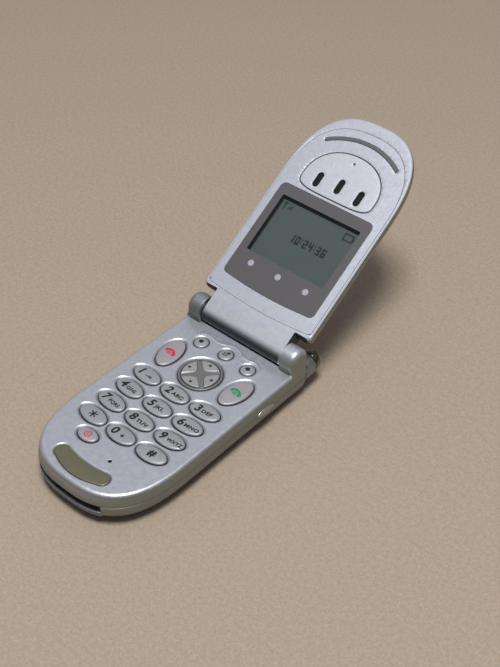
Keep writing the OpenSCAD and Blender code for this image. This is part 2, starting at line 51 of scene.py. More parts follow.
def mesh_obj(name, verts, faces, mat=None, smooth=True, mats=None, face_mat=None):
    """A mesh object from points in millimetres."""
    me = bpy.data.meshes.new(name)
    v = np.asarray(verts, float) * MM
    me.from_pydata(v.tolist(), [], [tuple(int(i) for i in f) for f in faces])
    me.validate(clean_customdata=False)
    ob = bpy.data.objects.new(name, me)
    bpy.context.scene.collection.objects.link(ob)
    for m in (mats or ([mat] if mat else [])):
        me.materials.append(m)
    if face_mat is not None:
        for p, i in zip(me.polygons, face_mat):
            p.material_index = int(i)
    if smooth:
        me.polygons.foreach_set("use_smooth", [True] * len(me.polygons))
    me.update()
    return ob


def tidy(ob, merge=0.004, angle=None, weighted=True):
    """Merges doubles, makes the outside face out, and sets the shading."""
    bm = bmesh.new()
    bm.from_mesh(ob.data)
    if merge:
        bmesh.ops.remove_doubles(bm, verts=bm.verts, dist=merge * MM)
    bmesh.ops.recalc_face_normals(bm, faces=bm.faces)
    bm.to_mesh(ob.data)
    bm.free()
    if angle is not None:
        ob.data.set_sharp_from_angle(angle=math.radians(angle))
    if weighted:
        w = ob.modifiers.new("shade", "WEIGHTED_NORMAL")
        w.weight = 60
        w.keep_sharp = True
    return ob


def join(name, obs):
    """Several meshes as one object."""
    mats, verts, faces, fm, base = [], [], [], [], 0
    for o in obs:
        me = o.data
        idx = []
        for m in me.materials:
            if m not in mats:
                mats.append(m)
            idx.append(mats.index(m))
        co = np.zeros(len(me.vertices) * 3)
        me.vertices.foreach_get("co", co)
        co = co.reshape(-1, 3)
        mw = np.array(o.matrix_world)
        co = co @ mw[:3, :3].T + mw[:3, 3]
        verts.append(co)
        for p in me.polygons:
            faces.append([i + base for i in p.vertices])
            fm.append(idx[p.material_index] if idx else 0)
        base += len(co)
    for o in obs:
        bpy.data.objects.remove(o)
    return mesh_obj(name, np.vstack(verts) / MM, faces, mats=mats, face_mat=fm)


def resample(pts, n, closed=False):
    p = np.asarray(pts, float)
    if closed:
        p = np.vstack([p, p[:1]])
    d = np.r_[0, np.cumsum(np.linalg.norm(np.diff(p, axis=0), axis=1))]
    t = np.linspace(0, d[-1], n + 1 if closed else n)
    if closed:
        t = t[:-1]
    return np.stack([np.interp(t, d, p[:, k]) for k in range(p.shape[1])], 1)


def arc(cx, cy, r, a0, a1, n):
    t = np.radians(np.linspace(a0, a1, n))
    return np.stack([cx + r * np.cos(t), cy + r * np.sin(t)], 1)


def sgnpow(v, e):
    return np.sign(v) * np.abs(v) ** e


def offset_closed(p, d):
    """A closed outline, anticlockwise, moved out by d."""
    p = np.asarray(p, float)
    t = np.roll(p, -1, 0) - np.roll(p, 1, 0)
    t /= np.linalg.norm(t, axis=1)[:, None] + 1e-12
    nrm = np.stack([t[:, 1], -t[:, 0]], 1)
    return p + nrm * np.asarray(d).reshape(-1, 1)


def ccw(p):
    p = np.asarray(p, float)
    x, y = p[:, 0], p[:, 1]
    area = 0.5 * np.sum(x * np.roll(y, -1) - np.roll(x, -1) * y)
    return p if area > 0 else p[::-1].copy()


def ring3(p, z):
    p = np.asarray(p, float)
    return np.column_stack([p, np.broadcast_to(np.asarray(z, float), (len(p),))])


def loft(rings, closed=True, cap0=False, cap1=False):
    """Rows of points joined into quads. Returns points and faces."""
    n = len(rings[0])
    v = np.vstack(rings)
    f = []
    for i in range(len(rings) - 1):
        for j in range(n if closed else n - 1):
            k = (j + 1) % n
            f.append((i * n + j, i * n + k, (i + 1) * n + k, (i + 1) * n + j))
    if cap0:
        f.append(tuple(range(n))[::-1])
    if cap1:
        f.append(tuple((len(rings) - 1) * n + j for j in range(n)))
    return v, f


class Soup:
    """Collects points and faces with a material number."""

    def __init__(self):
        self.v, self.f, self.m, self.n = [], [], [], 0

    def add(self, v, f, m=0):
        v = np.asarray(v, float)
        self.v.append(v)
        self.f += [tuple(i + self.n for i in q) for q in f]
        self.m += [m] * len(f)
        self.n += len(v)

    def make(self, name, mats, **k):
        ob = mesh_obj(name, np.vstack(self.v), self.f, mats=mats, face_mat=self.m)
        return tidy(ob, **k)


def fill(outer, holes, zfun, spots=None, lines=()):
    """Triangles between an outer outline and holes. spots are extra inner points,
    lines open polylines that the triangles keep."""
    pts, edges, loops = [], [], [outer] + list(holes)
    for lp in loops:
        b = len(pts)
        pts += [tuple(q) for q in lp]
        n = len(lp)
        edges += [(b + i, b + (i + 1) % n) for i in range(n)]
    for ln in lines:
        b = len(pts)
        pts += [tuple(q) for q in ln]
        edges += [(b + i, b + i + 1) for i in range(len(ln) - 1)]
    if spots is not None:
        pts += [tuple(q) for q in spots]
    vv, _, ff, *_ = delaunay_2d_cdt([Vector(p[:2]) for p in pts], edges, [], 0, 1e-5)
    vv = np.array([tuple(v) for v in vv])
    ff = [tuple(f) for f in ff]
    cen = np.array([vv[list(f)].mean(0) for f in ff])
    keep = inside(cen, np.asarray(outer)[:, :2])
    for i, t in enumerate(ff):
        if len(t) == 3:
            q = vv[list(t)]
            e = np.linalg.norm(q - np.roll(q, 1, 0), axis=1).max()
            u, w = q[1] - q[0], q[2] - q[0]
            if abs(u[0] * w[1] - u[1] * w[0]) < 0.002 * e:
                keep[i] = False
    for h in holes:
        keep &= ~inside(cen, np.asarray(h)[:, :2])
    ff = [f for f, k in zip(ff, keep) if k]
    z = zfun(vv[:, 0], vv[:, 1]) if callable(zfun) else np.full(len(vv), float(zfun))
    return np.column_stack([vv, z]), ff


def spots_in(step, outer, holes, margin=0.6):
    """A grid of points inside an outline, clear of it and of its holes."""
    o = np.asarray(outer)[:, :2]
    lo, hi = o.min(0), o.max(0)
    g = np.stack(np.meshgrid(np.arange(lo[0], hi[0], step), np.arange(lo[1], hi[1], step)), -1).reshape(-1, 2)
    ok = inside(g, o) & (poly_dist(g, o, closed=True) > margin)
    for h in holes:
        h = np.asarray(h)[:, :2]
        ok &= ~inside(g, h) & (poly_dist(g, h, closed=True) > margin)
    return g[ok]


def inside(q, poly):
    x, y = q[:, 0], q[:, 1]
    r = np.zeros(len(q), bool)
    n = len(poly)
    for i in range(n):
        x1, y1 = poly[i]
        x2, y2 = poly[(i + 1) % n]
        c = (y1 > y) != (y2 > y)
        with np.errstate(divide="ignore", invalid="ignore"):
            xi = (x2 - x1) * (y - y1) / (y2 - y1 + 1e-30) + x1
        r ^= c & (x < xi)
    return r


def poly_dist(q, line, closed=False):
    """Distance of points q to a polyline."""
    line = np.asarray(line, float)
    if closed:
        line = np.vstack([line, line[:1]])
    best = np.full(len(q), 1e9)
    for a, b in zip(line[:-1], line[1:]):
        ab = b - a
        t = np.clip(((q - a) @ ab) / (ab @ ab + 1e-12), 0, 1)
        best = np.minimum(best, np.linalg.norm(q - (a + t[:, None] * ab), axis=1))
    return best


def catmull(p, n=12):
    p = np.asarray(p, float)
    q = np.vstack([2 * p[0] - p[1], p, 2 * p[-1] - p[-2]])
    out = []
    for i in range(1, len(q) - 2):
        a, b, c, d = q[i - 1], q[i], q[i + 1], q[i + 2]
        for t in np.linspace(0, 1, n, endpoint=False):
            out.append(0.5 * (2 * b + (c - a) * t + (2 * a - 5 * b + 4 * c - d) * t * t
                              + (3 * b - a - 3 * c + d) * t ** 3))
    out.append(q[-2])
    return np.array(out)


def lid(v):
    """Points given in the lid's plane (x, u, w) put at the open rest angle."""
    v = np.asarray(v, float)
    c, s = math.cos(TH), math.sin(TH)
    return np.column_stack([v[:, 0], AY + v[:, 1] * c - v[:, 2] * s,
                            AZ + v[:, 1] * s + v[:, 2] * c])


def smooth_levels(table, zs):
    """Shape-keeping curve through rows [z, a, b, c]."""
    t = np.asarray(table, float)
    z = t[:, 0]
    out = []
    for k in range(1, t.shape[1]):
        y = t[:, k]
        h = np.diff(z)
        s = np.diff(y) / h
        m = np.zeros(len(z))
        m[0], m[-1] = s[0], s[-1]
        for i in range(1, len(z) - 1):
            if s[i - 1] * s[i] > 0:
                w1, w2 = 2 * h[i] + h[i - 1], h[i] + 2 * h[i - 1]
                m[i] = (w1 + w2) / (w1 / s[i - 1] + w2 / s[i])
        i = np.clip(np.searchsorted(z, zs) - 1, 0, len(z) - 2)
        u = (zs - z[i]) / h[i]
        out.append((2 * u ** 3 - 3 * u ** 2 + 1) * y[i] + (u ** 3 - 2 * u ** 2 + u) * h[i] * m[i]
                   + (-2 * u ** 3 + 3 * u ** 2) * y[i + 1] + (u ** 3 - u ** 2) * h[i] * m[i + 1])
    return np.stack(out, 1)

# ---------------------------------------------------------------- materials
def srgb(r, g, b):
    return tuple(((c / 255 / 12.92) if c / 255 <= 0.04045 else ((c / 255 + 0.055) / 1.055) ** 2.4)
                 for c in (r, g, b)) + (1.0,)


def material(name, colour, rough=0.4, metal=0.0, var=0.06, scale=900.0, bump=0.0, bump_scale=None,
             rough_var=0.08, second=None, second_scale=60.0, second_amount=0.25, wear=0.0,
             coat=0.0, coat_rough=0.1, spec=None, painted_shade=None, fleck=0.0, fleck_scale=9000.0,
             emission=None, ior=None, alpha=None, up=(0, 0, 1), span=(0.75, 0.15),
             brush=None, brush_amount=0.1, both=False):
    """Procedural finish in object space: fine colour variation, cloudy variation, flecks,
    roughness variation, bump, and painted shade: a darker colour on faces that look down or sideways."""
    m = bpy.data.materials.new(name)
    m.use_nodes = True
    nt = m.node_tree
    n, l = nt.nodes, nt.links
    bsdf = n["Principled BSDF"]
    tc = n.new("ShaderNodeTexCoord")
    col = n.new("ShaderNodeRGB")
    col.outputs[0].default_value = colour
    last = col.outputs[0]

    def noise(sc, detail=4.0, rough_n=0.6):
        t = n.new("ShaderNodeTexNoise")
        t.inputs["Scale"].default_value = sc
        t.inputs["Detail"].default_value = detail
        t.inputs["Roughness"].default_value = rough_n
        l.new(tc.outputs["Object"], t.inputs["Vector"])
        return t

    def mixc(fac, a, b, blend="MIX"):
        x = n.new("ShaderNodeMix")
        x.data_type = "RGBA"
        x.blend_type = blend
        if isinstance(fac, (int, float)):
            x.inputs[0].default_value = fac
        else:
            l.new(fac, x.inputs[0])
        for s, v in ((x.inputs[6], a), (x.inputs[7], b)):
            if isinstance(v, tuple):
                s.default_value = v
            else:
                l.new(v, s)
        return x.outputs[2]

    def remap(src, a, b, lo=0.3, hi=0.7):
        r = n.new("ShaderNodeMapRange")
        r.inputs["From Min"].default_value = lo
        r.inputs["From Max"].default_value = hi
        r.inputs["To Min"].default_value = a
        r.inputs["To Max"].default_value = b
        l.new(src, r.inputs["Value"])
        return r.outputs[0]

    if second is not None:
        last = mixc(remap(noise(second_scale, 3).outputs["Fac"], 0, second_amount), last, second)
    fine = noise(scale)
    if var:
        last = mixc(1.0, last, mixc(remap(fine.outputs["Fac"], 0, 1),
                                    (1 - var,) * 3 + (1,), (1 + var,) * 3 + (1,)), "MULTIPLY")
    if fleck:
        vo = n.new("ShaderNodeTexVoronoi")
        vo.inputs["Scale"].default_value = fleck_scale
        l.new(tc.outputs["Object"], vo.inputs["Vector"])
        sep = n.new("ShaderNodeSeparateColor")
        l.new(vo.outputs["Color"], sep.inputs[0])
        last = mixc(1.0, last, mixc(remap(sep.outputs[0], 0, 1, 0, 1),
                                    (1 - fleck,) * 3 + (1,), (1 + fleck,) * 3 + (1,)), "MULTIPLY")
    if brush is not None:
        mp = n.new("ShaderNodeMapping")
        mp.inputs["Scale"].default_value = brush
        l.new(tc.outputs["Object"], mp.inputs["Vector"])
        st = n.new("ShaderNodeTexNoise")
        st.inputs["Scale"].default_value = 1.0
        st.inputs["Detail"].default_value = 3.0
        l.new(mp.outputs["Vector"], st.inputs["Vector"])
        last = mixc(1.0, last, mixc(remap(st.outputs["Fac"], 0, 1), (1 - brush_amount,) * 3 + (1,),
                                    (1 + brush_amount,) * 3 + (1,)), "MULTIPLY")
    # painted shade: the colour darkens as the object-space normal turns away from up
    if painted_shade is not None:
        dp = n.new("ShaderNodeVectorMath")
        dp.operation = "DOT_PRODUCT"
        l.new(tc.outputs["Normal"], dp.inputs[0])
        dp.inputs[1].default_value = up
        r = n.new("ShaderNodeMapRange")
        r.inputs["From Min"].default_value = span[0]
        r.inputs["From Max"].default_value = span[1]
        r.interpolation_type = "SMOOTHSTEP"
        src = dp.outputs["Value"]
        if both:
            ab = n.new("ShaderNodeMath")
            ab.operation = "ABSOLUTE"
            l.new(src, ab.inputs[0])
            src = ab.outputs[0]
        l.new(src, r.inputs["Value"])
        last = mixc(r.outputs[0], last, painted_shade)
    if wear:
        po = n.new("ShaderNodeNewGeometry")
        last = mixc(remap(po.outputs["Pointiness"], 0, wear, 0.52, 0.6), last, (0.8, 0.8, 0.82, 1))
    l.new(last, bsdf.inputs["Base Color"])
    bsdf.inputs["Metallic"].default_value = metal
    rn = noise(scale * 0.35, 3)
    l.new(remap(rn.outputs["Fac"], max(0.02, rough - rough_var), min(1, rough + rough_var)),
          bsdf.inputs["Roughness"])
    if bump:
        b = n.new("ShaderNodeBump")
        b.inputs["Strength"].default_value = 1.0
        b.inputs["Distance"].default_value = bump * MM
        l.new(noise(bump_scale or scale, 2, 0.5).outputs["Fac"], b.inputs["Height"])
        l.new(b.outputs[0], bsdf.inputs["Normal"])
    bsdf.inputs["Coat Weight"].default_value = coat
    bsdf.inputs["Coat Roughness"].default_value = coat_rough
    if spec is not None:
        bsdf.inputs["Specular IOR Level"].default_value = spec
    if ior is not None:
        bsdf.inputs["IOR"].default_value = ior
    if alpha is not None:
        bsdf.inputs["Alpha"].default_value = alpha
    if emission is not None:
        bsdf.inputs["Emission Color"].default_value = emission[0]
        bsdf.inputs["Emission Strength"].default_value = emission[1]
    return m


M = {}
# painted shade and painted reflection of the floor: front-housing faces that turn sideways or down take a darker
# olive-grey
M["face"] = material("lacquer_face", srgb(206, 209, 218), 0.4, 0.7, var=0.035, scale=2200,
                     fleck=0.05, fleck_scale=3600, bump=0.003, bump_scale=3200,
                     second=srgb(198, 202, 212), second_scale=45, second_amount=0.35,
                     painted_shade=srgb(144, 149, 145))
# painted shade: the lid's side walls, turned away from both its face and its back, take a darker grey
M["lid"] = material("lacquer_lid", srgb(220, 224, 236), 0.38, 0.68, var=0.02, scale=2200,
                    fleck=0.015, fleck_scale=3600, bump=0.0004, bump_scale=3200, rough_var=0.04,
                    second=srgb(214, 218, 230), second_scale=40, second_amount=0.2,
                    painted_shade=srgb(142, 145, 143), up=(0, -math.sin(TH), math.cos(TH)), span=(0.9, 0.1), both=True)
M["lid_edge"] = material("lacquer_edge", srgb(196, 200, 208), 0.66, 0.45, var=0.02, scale=2200,
                         fleck=0.015, fleck_scale=3600, bump=0.0004, bump_scale=3200, rough_var=0.04,
                         second=srgb(188, 192, 202), second_scale=40, second_amount=0.2)
LID_UP = (0, -math.sin(TH), math.cos(TH))
# painted shade on the barrel's front-facing side, darkened to near black-grey; its base colour is a little lighter than
# the lid's, a painted highlight along the top
M["barrel"] = material("lacquer_barrel", srgb(224, 229, 236), 0.36, 0.72, var=0.03, scale=2200,
                       fleck=0.02, fleck_scale=3600, bump=0.0004, bump_scale=3200,
                       second=srgb(212, 217, 225), second_scale=60, second_amount=0.12,
                       painted_shade=srgb(62, 67, 70), up=(0, 1, 0), span=(-0.66, -0.97), rough_var=0.03,
                       brush=(2600, 60, 60), brush_amount=0.06)
# painted shade: a dark grey for the notch between the lid's neck and the knuckles, under the lid's shoulders
M["lid_dark"] = material("lacquer_notch_painted_shade", srgb(74, 76, 74), 0.5, 0.5, var=0.05, scale=2200,
                         fleck=0.05, fleck_scale=3600, bump=0.003, bump_scale=3200,
                         second=srgb(60, 62, 60), second_scale=90)
# rear housing, cover and antenna boss: partly a darker lower-shell paint, partly painted shade and painted reflection
# of the floor on their sideways and downward faces
M["side"] = material("lacquer_side", srgb(147, 152, 149), 0.42, 0.7, var=0.04, scale=2200,
                     fleck=0.05, fleck_scale=3600, bump=0.004, bump_scale=3200,
                     second=srgb(130, 133, 131), second_scale=50, second_amount=0.4)
# painted shade: a darker copy of the face lacquer for the left knuckle, darker still where it turns sideways
M["knuckle"] = material("lacquer_knuckle_painted_shade", srgb(166, 170, 174), 0.4, 0.72, var=0.035, scale=2200,
                        fleck=0.04, fleck_scale=3600, bump=0.003, bump_scale=3200,
                        second=srgb(152, 156, 158), second_scale=60, second_amount=0.4,
                        painted_shade=srgb(128, 131, 131))
M["lip"] = material("connector_lip", srgb(150, 158, 164), 0.3, 0.75, var=0.05, scale=2300,
                    fleck=0.04, fleck_scale=3600, bump=0.003, bump_scale=3200,
                    second=srgb(122, 130, 136), second_scale=120, second_amount=0.6)
M["key"] = material("key_rubber", srgb(176, 177, 182), 0.44, 0.5, var=0.05, scale=2600,
                    fleck=0.05, fleck_scale=3800, bump=0.004, bump_scale=3600,
                    second=srgb(164, 165, 171), second_scale=120, second_amount=0.4)
M["key_pink"] = material("key_rubber_pink", srgb(180, 175, 181), 0.44, 0.45, var=0.05, scale=2600,
                         fleck=0.05, fleck_scale=3800, bump=0.004, bump_scale=3600,
                         second=srgb(171, 164, 172), second_scale=120, second_amount=0.4)
M["key_side"] = material("key_shadow_line", srgb(74, 74, 77), 0.7, 0.0, var=0.1, scale=2500,
                         bump=0.01, second=srgb(56, 56, 59), second_scale=200)
M["nav"] = material("nav_satin", srgb(178, 178, 180), 0.42, 0.5, var=0.04, scale=3000,
                    fleck=0.05, fleck_scale=3800, bump=0.004, bump_scale=3600,
                    second=srgb(166, 166, 168), second_scale=150, second_amount=0.4)
# darker grey for the recessed cross, painted shade of the recess, and for the disc's outer ring band
M["nav_cross"] = material("nav_cross", srgb(126, 126, 126), 0.4, 0.35, var=0.03, scale=3000,
                          bump=0.004, second=srgb(108, 108, 108), second_scale=150)
M["ink"] = material("legend_ink", srgb(14, 14, 16), 0.55, 0.0, var=0.15, scale=4000, bump=0.004,
                    second=srgb(30, 30, 34), second_scale=300)
M["red"] = material("legend_red", srgb(188, 40, 66), 0.5, 0.0, var=0.1, scale=4000, bump=0.004,
                    second=srgb(202, 66, 90), second_scale=500, second_amount=0.4)
M["green"] = material("legend_green", srgb(18, 132, 84), 0.5, 0.0, var=0.1, scale=4000, bump=0.004,
                      second=srgb(60, 160, 112), second_scale=500, second_amount=0.4)
M["badge"] = material("badge_bronze", srgb(124, 121, 96), 0.4, 0.55, var=0.05, scale=2500,
                      fleck=0.05, fleck_scale=9000, bump=0.01, bump_scale=4000,
                      second=srgb(114, 112, 94), second_scale=110, second_amount=0.5,
                      coat=0.25, coat_rough=0.25)
M["black"] = material("black_moulding", srgb(18, 18, 20), 0.5, 0.0, var=0.15, scale=1800,
                      bump=0.02, second=srgb(30, 30, 33), second_scale=120)
M["void"] = material("deep_shadow", srgb(6, 6, 7), 0.85, 0.0, var=0.1, scale=900, bump=0.01)
M["gloss"] = material("antenna_tip", srgb(106, 105, 86), 0.13, 0.85, var=0.1, scale=1500, bump=0.002,
                      rough_var=0.04, coat=1.0, coat_rough=0.05, second=srgb(62, 64, 56),
                      second_scale=200)
M["gold_rim"] = material("tip_rim", srgb(150, 138, 92), 0.3, 0.8, var=0.08, scale=2500, bump=0.006,
                         second=srgb(110, 112, 80), second_scale=260)
M["lens"] = material("lens_print", srgb(90, 88, 92), 0.5, 0.0, var=0.05, scale=3500,
                     bump=0.004, bump_scale=3000, second=srgb(82, 81, 84), second_scale=60,
                     second_amount=0.5, coat=0.35, coat_rough=0.12)
M["lens_dot"] = material("lens_dot", srgb(172, 172, 186), 0.55, 0.2, var=0.05, scale=3500,
                         bump=0.004, second=srgb(176, 176, 190), second_scale=400)
M["lcd"] = material("lcd_glass", srgb(74, 86, 85), 0.42, 0.0, var=0.03, scale=5200,
                    bump=0.002, rough_var=0.06, second=srgb(66, 78, 77), second_scale=70,
                    second_amount=0.5, spec=0.35)
M["lcd_ink"] = material("lcd_ink", srgb(10, 12, 12), 0.5, 0.0, var=0.1, scale=5000, bump=0.002,
                        second=srgb(18, 21, 21), second_scale=600)
M["ear"] = material("ear_silver", srgb(220, 223, 232), 0.4, 0.55, var=0.02, scale=2600, rough_var=0.04,
                    fleck=0.015, fleck_scale=3600, bump=0.0006, bump_scale=3200,
                    second=srgb(212, 216, 230), second_scale=60, second_amount=0.4)
M["strip"] = material("bumper_strip", srgb(98, 98, 102), 0.6, 0.0, var=0.08, scale=2600, bump=0.012,
                      bump_scale=5000, second=srgb(80, 80, 84), second_scale=180)
M["steel"] = material("steel", srgb(170, 172, 178), 0.3, 1.0, var=0.05, scale=1800, bump=0.006,
                      second=srgb(140, 142, 148), second_scale=90, second_amount=0.5)
M["gold"] = material("gold_contact", srgb(212, 170, 84), 0.25, 1.0, var=0.06, scale=2500,
                     bump=0.004, second=srgb(184, 140, 66), second_scale=200)
M["board"] = material("circuit_board", srgb(24, 92, 60), 0.4, 0.0, var=0.15, scale=700, bump=0.02,
                      second=srgb(40, 120, 70), second_scale=260, second_amount=0.9, coat=0.3)
M["mat"] = material("silicone_mat", srgb(206, 208, 212), 0.6, 0.0, var=0.04, scale=1200,
                    bump=0.02, second=srgb(190, 192, 198), second_scale=80)
M["amber"] = material("amber_film", srgb(176, 104, 32), 0.3, 0.1, var=0.1, scale=900, bump=0.008,
                      second=srgb(206, 132, 50), second_scale=300, second_amount=0.6)
M["wrap"] = material("battery_wrap", srgb(46, 48, 54), 0.45, 0.0, var=0.08, scale=1100,
                     bump=0.03, bump_scale=300, second=srgb(62, 64, 70), second_scale=90)
M["clear"] = material("clear_window", srgb(200, 210, 210), 0.12, 0.0, var=0.02, scale=1500,
                      bump=0.001, rough_var=0.04, alpha=0.015)
M["chrome"] = material("side_key_trim", srgb(176, 179, 180), 0.34, 0.8, var=0.04, scale=2500,
                       bump=0.004, second=srgb(180, 182, 174), second_scale=200)

for name, key in {"keypad_mat": "mat", "dome_sheet": "steel", "main_board": "board",
                  "rf_shield": "steel", "microphone": "black", "ringer": "black",
                  "vibration_motor": "steel", "sim_holder": "steel",
                  "accessory_connector": "black", "battery_contacts": "gold",
                  "housing_screws": "steel", "hinge_spindle": "steel", "hinge_bush": "steel",
                  "backup_cell": "steel", "battery": "wrap", "nav_pivot": "black",
                  "antenna_rod": "steel", "lens_gasket": "black", "lcd_module": "lcd",
                  "earpiece_speaker": "black", "lid_board": "board", "lid_screws": "steel",
                  "hinge_cam": "steel", "hinge_spring": "steel", "flex_cable": "amber",
                  "battery_latch": "black"}.items():
    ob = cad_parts[name]
    if not ob.material_slots:
        ob.data.materials.append(M[key])
    for s in ob.material_slots:
        s.material = M[key]

# ---------------------------------------------------------------- base outlines
NF = 120


def front_arc(a, b, n=2.8, num=NF, off=0.0):
    """Curved microphone end, from the left straight side to the right one."""
    t = np.linspace(math.pi, 2 * math.pi, 721)
    p = np.stack([a * sgnpow(np.cos(t), 2 / n), -12.5 + b * sgnpow(np.sin(t), 2 / n)], 1)
    return p


# one set of arc-length stations, from the parting line's outline, keeps the rows in step
_ref = front_arc(22.5, 29.8)
_d = np.r_[0, np.cumsum(np.linalg.norm(np.diff(_ref, axis=0), axis=1))]
_st = list(np.linspace(0, _d[-1], NF))
for sx in (-12.6, -12.35, 12.35, 12.6):
    _st.append(np.interp(sx, _ref[:, 0], _d))
_st = np.array(sorted(_st))
_ti = np.interp(_st, _d, np.linspace(math.pi, 2 * math.pi, 721))
SIDE_Y = np.array([-11, -8, -4, 0, 4, 8, 11.9, 12.3, 13, 14, 15.2, 15.6, 17, 20, 22.5, 24, 24.4,
                   26.3, 26.8, 28.5, 31, 33.0])


def open_strip(a, b, n=2.8):
    """Left side from the rear, round the curved end, and back up the right side."""
    p = np.stack([a * sgnpow(np.cos(_ti), 2 / n), -12.5 + b * sgnpow(np.sin(_ti), 2 / n)], 1)
    left = np.column_stack([np.full(len(SIDE_Y), -a), SIDE_Y[::-1]])
    right = np.column_stack([np.full(len(SIDE_Y), a), SIDE_Y])
    return np.vstack([left, p, right])


def full_ring(a, b, yb, rc=2.2):
    rc = min(rc, a - 1)
    s = open_strip(a, b)
    right = np.column_stack([[a, a], [35.2, yb - rc - 0.3]])
    ra = arc(a - rc, yb - rc, rc, 0, 90, 9)
    back = np.column_stack([np.linspace(a - rc - 1.5, -(a - rc - 1.5), 12), np.full(12, yb)])
    la = arc(-a + rc, yb - rc, rc, 90, 180, 9)
    left = np.column_stack([[-a, -a], [yb - rc - 0.3, 35.2]])
    return np.vstack([s, right, ra, back, la, left])


HI = [[8, 22.5, 29.8, 40.9], [9.6, 22.5, 29.55, 40.9], [11.2, 22.42, 29.0, 40.9], [12.5, 22.2, 28.5, 40.9]]
LO = [[0, 16.2, 21.5, 35], [0.2, 17.3, 23, 36.2], [0.7, 18.5, 24.8, 37.5], [1.6, 19.9, 26.8, 38.8],
      [3, 21.2, 28.4, 40], [4.6, 22, 29.3, 40.7], [6.2, 22.4, 29.7, 40.9], [8, 22.5, 29.8, 40.9]]


def hi_at(z):
    a, b, yb = smooth_levels(HI, np.array([float(z)]))[0]
    return a, min(b, 29.7), yb


def lo_at(z):
    return smooth_levels(LO, np.array([float(z)]))[0]


def slot_z(p, base, lip, lo_x=12.35, hi_x=12.6):
    """Height of a row that steps at the connector slot at the front."""
    x, y = np.abs(p[:, 0]), p[:, 1]
    k = np.clip((hi_x - x) / (hi_x - lo_x), 0, 1)
    return np.where(y < -30, base + (lip - base) * k, base)


# ---------------------------------------------------------------- front housing
def oval(a, b, n=56, cx=0.0, cy=0.0, rot=0.0):
    t = np.linspace(0, 2 * math.pi, n, endpoint=False)
    x, y = a * np.cos(t), b * np.sin(t)
    c, s = math.cos(math.radians(rot)), math.sin(math.radians(rot))
    return np.stack([cx + x * c - y * s, cy + x * s + y * c], 1)


def kpos(c, r):
    return c * 12.0, 3.9 - r * 7.6 - (0.36 if c == 0 else 0)


KEYS = []   # name, centre x, y, half sizes, turn, legend
for r, row in enumerate((("1", "2", "3"), ("4", "5", "6"), ("7", "8", "9"), ("star", "0", "hash"))):
    for c, nm in zip((-1, 0, 1), row):
        x, y = kpos(c, r)
        KEYS.append(("key_" + nm, x, y, 5.3, 2.9, c * 5.0))
KEYS.append(("key_end", -13.7, 16.1, 3.6, 6.5, 8.0))
KEYS.append(("key_send", 13.7, 16.1, 3.6, 6.5, -8.0))
KEYS.append(("key_power", -7.3, -25.6, 3.65, 2.35, 0.0))
KEYS.append(("soft_key_left", -9.75, 26.1, 2.45, 2.45, 0.0))
KEYS.append(("menu_key", 0.0, 26.9, 2.45, 2.45, 0.0))
KEYS.append(("soft_key_right", 9.75, 26.1, 2.45, 2.45, 0.0))
GAP = 0.2


def badge_outline(d=0.0):
    x = np.linspace(-8.2, 8.2, 40)
    lo = np.stack([x, -36.3 + 0.022 * x * x - (2.8 - 0.006 * x * x) - d], 1)
    r1 = arc(8.2, -34.82, 2.4 + d, -72, 72, 17)
    hi = np.stack([x[::-1], -36.3 + 0.022 * x * x + (2.8 - 0.006 * x * x) + d], 1)
    r2 = arc(-8.2, -34.82, 2.4 + d, 108, 252, 17)
    return np.vstack([lo, r1, hi, r2])


WAVE = catmull([(-14.2, 26.0), (-13.5, 27.6), (-12.5, 29.2), (-11, 30.1), (-9, 30.15), (-6.5, 29.6),
                (-4, 29.75), (-2.3, 30.6), (0, 31.35), (2.3, 30.8), (4.5, 29.7), (7, 29.45),
                (9.5, 30.0), (11.5, 29.5), (13, 28.0), (14.0, 26.2)], 8)
HALOS = [(-9.75, 26.1, 3.75), (0.0, 26.9, 3.7), (9.75, 26.1, 3.75)]


def face_z(x, y):
    q = np.stack([x, y], 1)
    d = poly_dist(q, WAVE)
    end = np.clip((14.3 - np.abs(x)) / 2.5, 0, 1)
    z = np.full(len(x), H) + 0.15 * np.exp(-(d / 0.3) ** 2) * end
    for cx, cy, r in HALOS:
        z += 0.055 * np.exp(-((np.hypot(x - cx, y - cy) - r) / 0.22) ** 2)
    return z


RIM_IN, RIM_W, RIM_Z = 1.05, 0, 11.35
holes = []
for nm, x, y, a, b, rot in KEYS:
    holes.append((nm, ccw(oval(a + GAP, b + GAP, 64 if a > 3 else 44, x, y, rot)), 1.0 if a > 3 else 0.62,
                  0.74 if a > 3 else 0.36))
holes.append(("nav", ccw(oval(7.25, 7.25, 96, 0, 15.05)), 0.9, 0.58))
holes.append(("badge", ccw(badge_outline(0.06)), 0.62, 0.5))
holes.append(("mic", ccw(oval(0.55, 0.55, 24, 5.1, -28.7)), 0.2, 0.14))

shell = Soup()
# side wall: a closed wall from the inside of the parting line up to the start of the rim
rows = []
a, b, yb = hi_at(8.03)
for z, d in ((10.5, -1.5), (8.03, -1.5), (8.03, -0.18), (8.06, -0.06), (8.15, 0.0)):
    aa, bb, yy = hi_at(max(8.0, z))
    p = full_ring(aa + d, bb + d, yy + d)
    zz = slot_z(p, z, z + (0.22 if z < 10 else 0))
    rows.append(ring3(p, zz))
for z in (8.75, 9.3, 9.9, 10.5, 11.0, RIM_Z):
    aa, bb, yy = hi_at(z)
    rows.append(ring3(full_ring(aa, bb, yy), z))
v, f = loft(rows)
shell.add(v, f, 0)
# rounded rim along the sides and the curved end
rim = []
aa, bb, _ = hi_at(RIM_Z)
for k, ph in enumerate(np.linspace(0, 90, 9)):
    c, s = math.cos(math.radians(ph)), math.sin(math.radians(ph))
    A = aa - RIM_IN * (1 - c)
    B = bb - 1.35 * (1 - c)
    rim.append(ring3(open_strip(A, B), RIM_Z + (H - RIM_Z) * s))
v, f = loft(rim, closed=False)
shell.add(v, f, 0)
inner = rim[-1][:, :2]
rear_y = 33.0
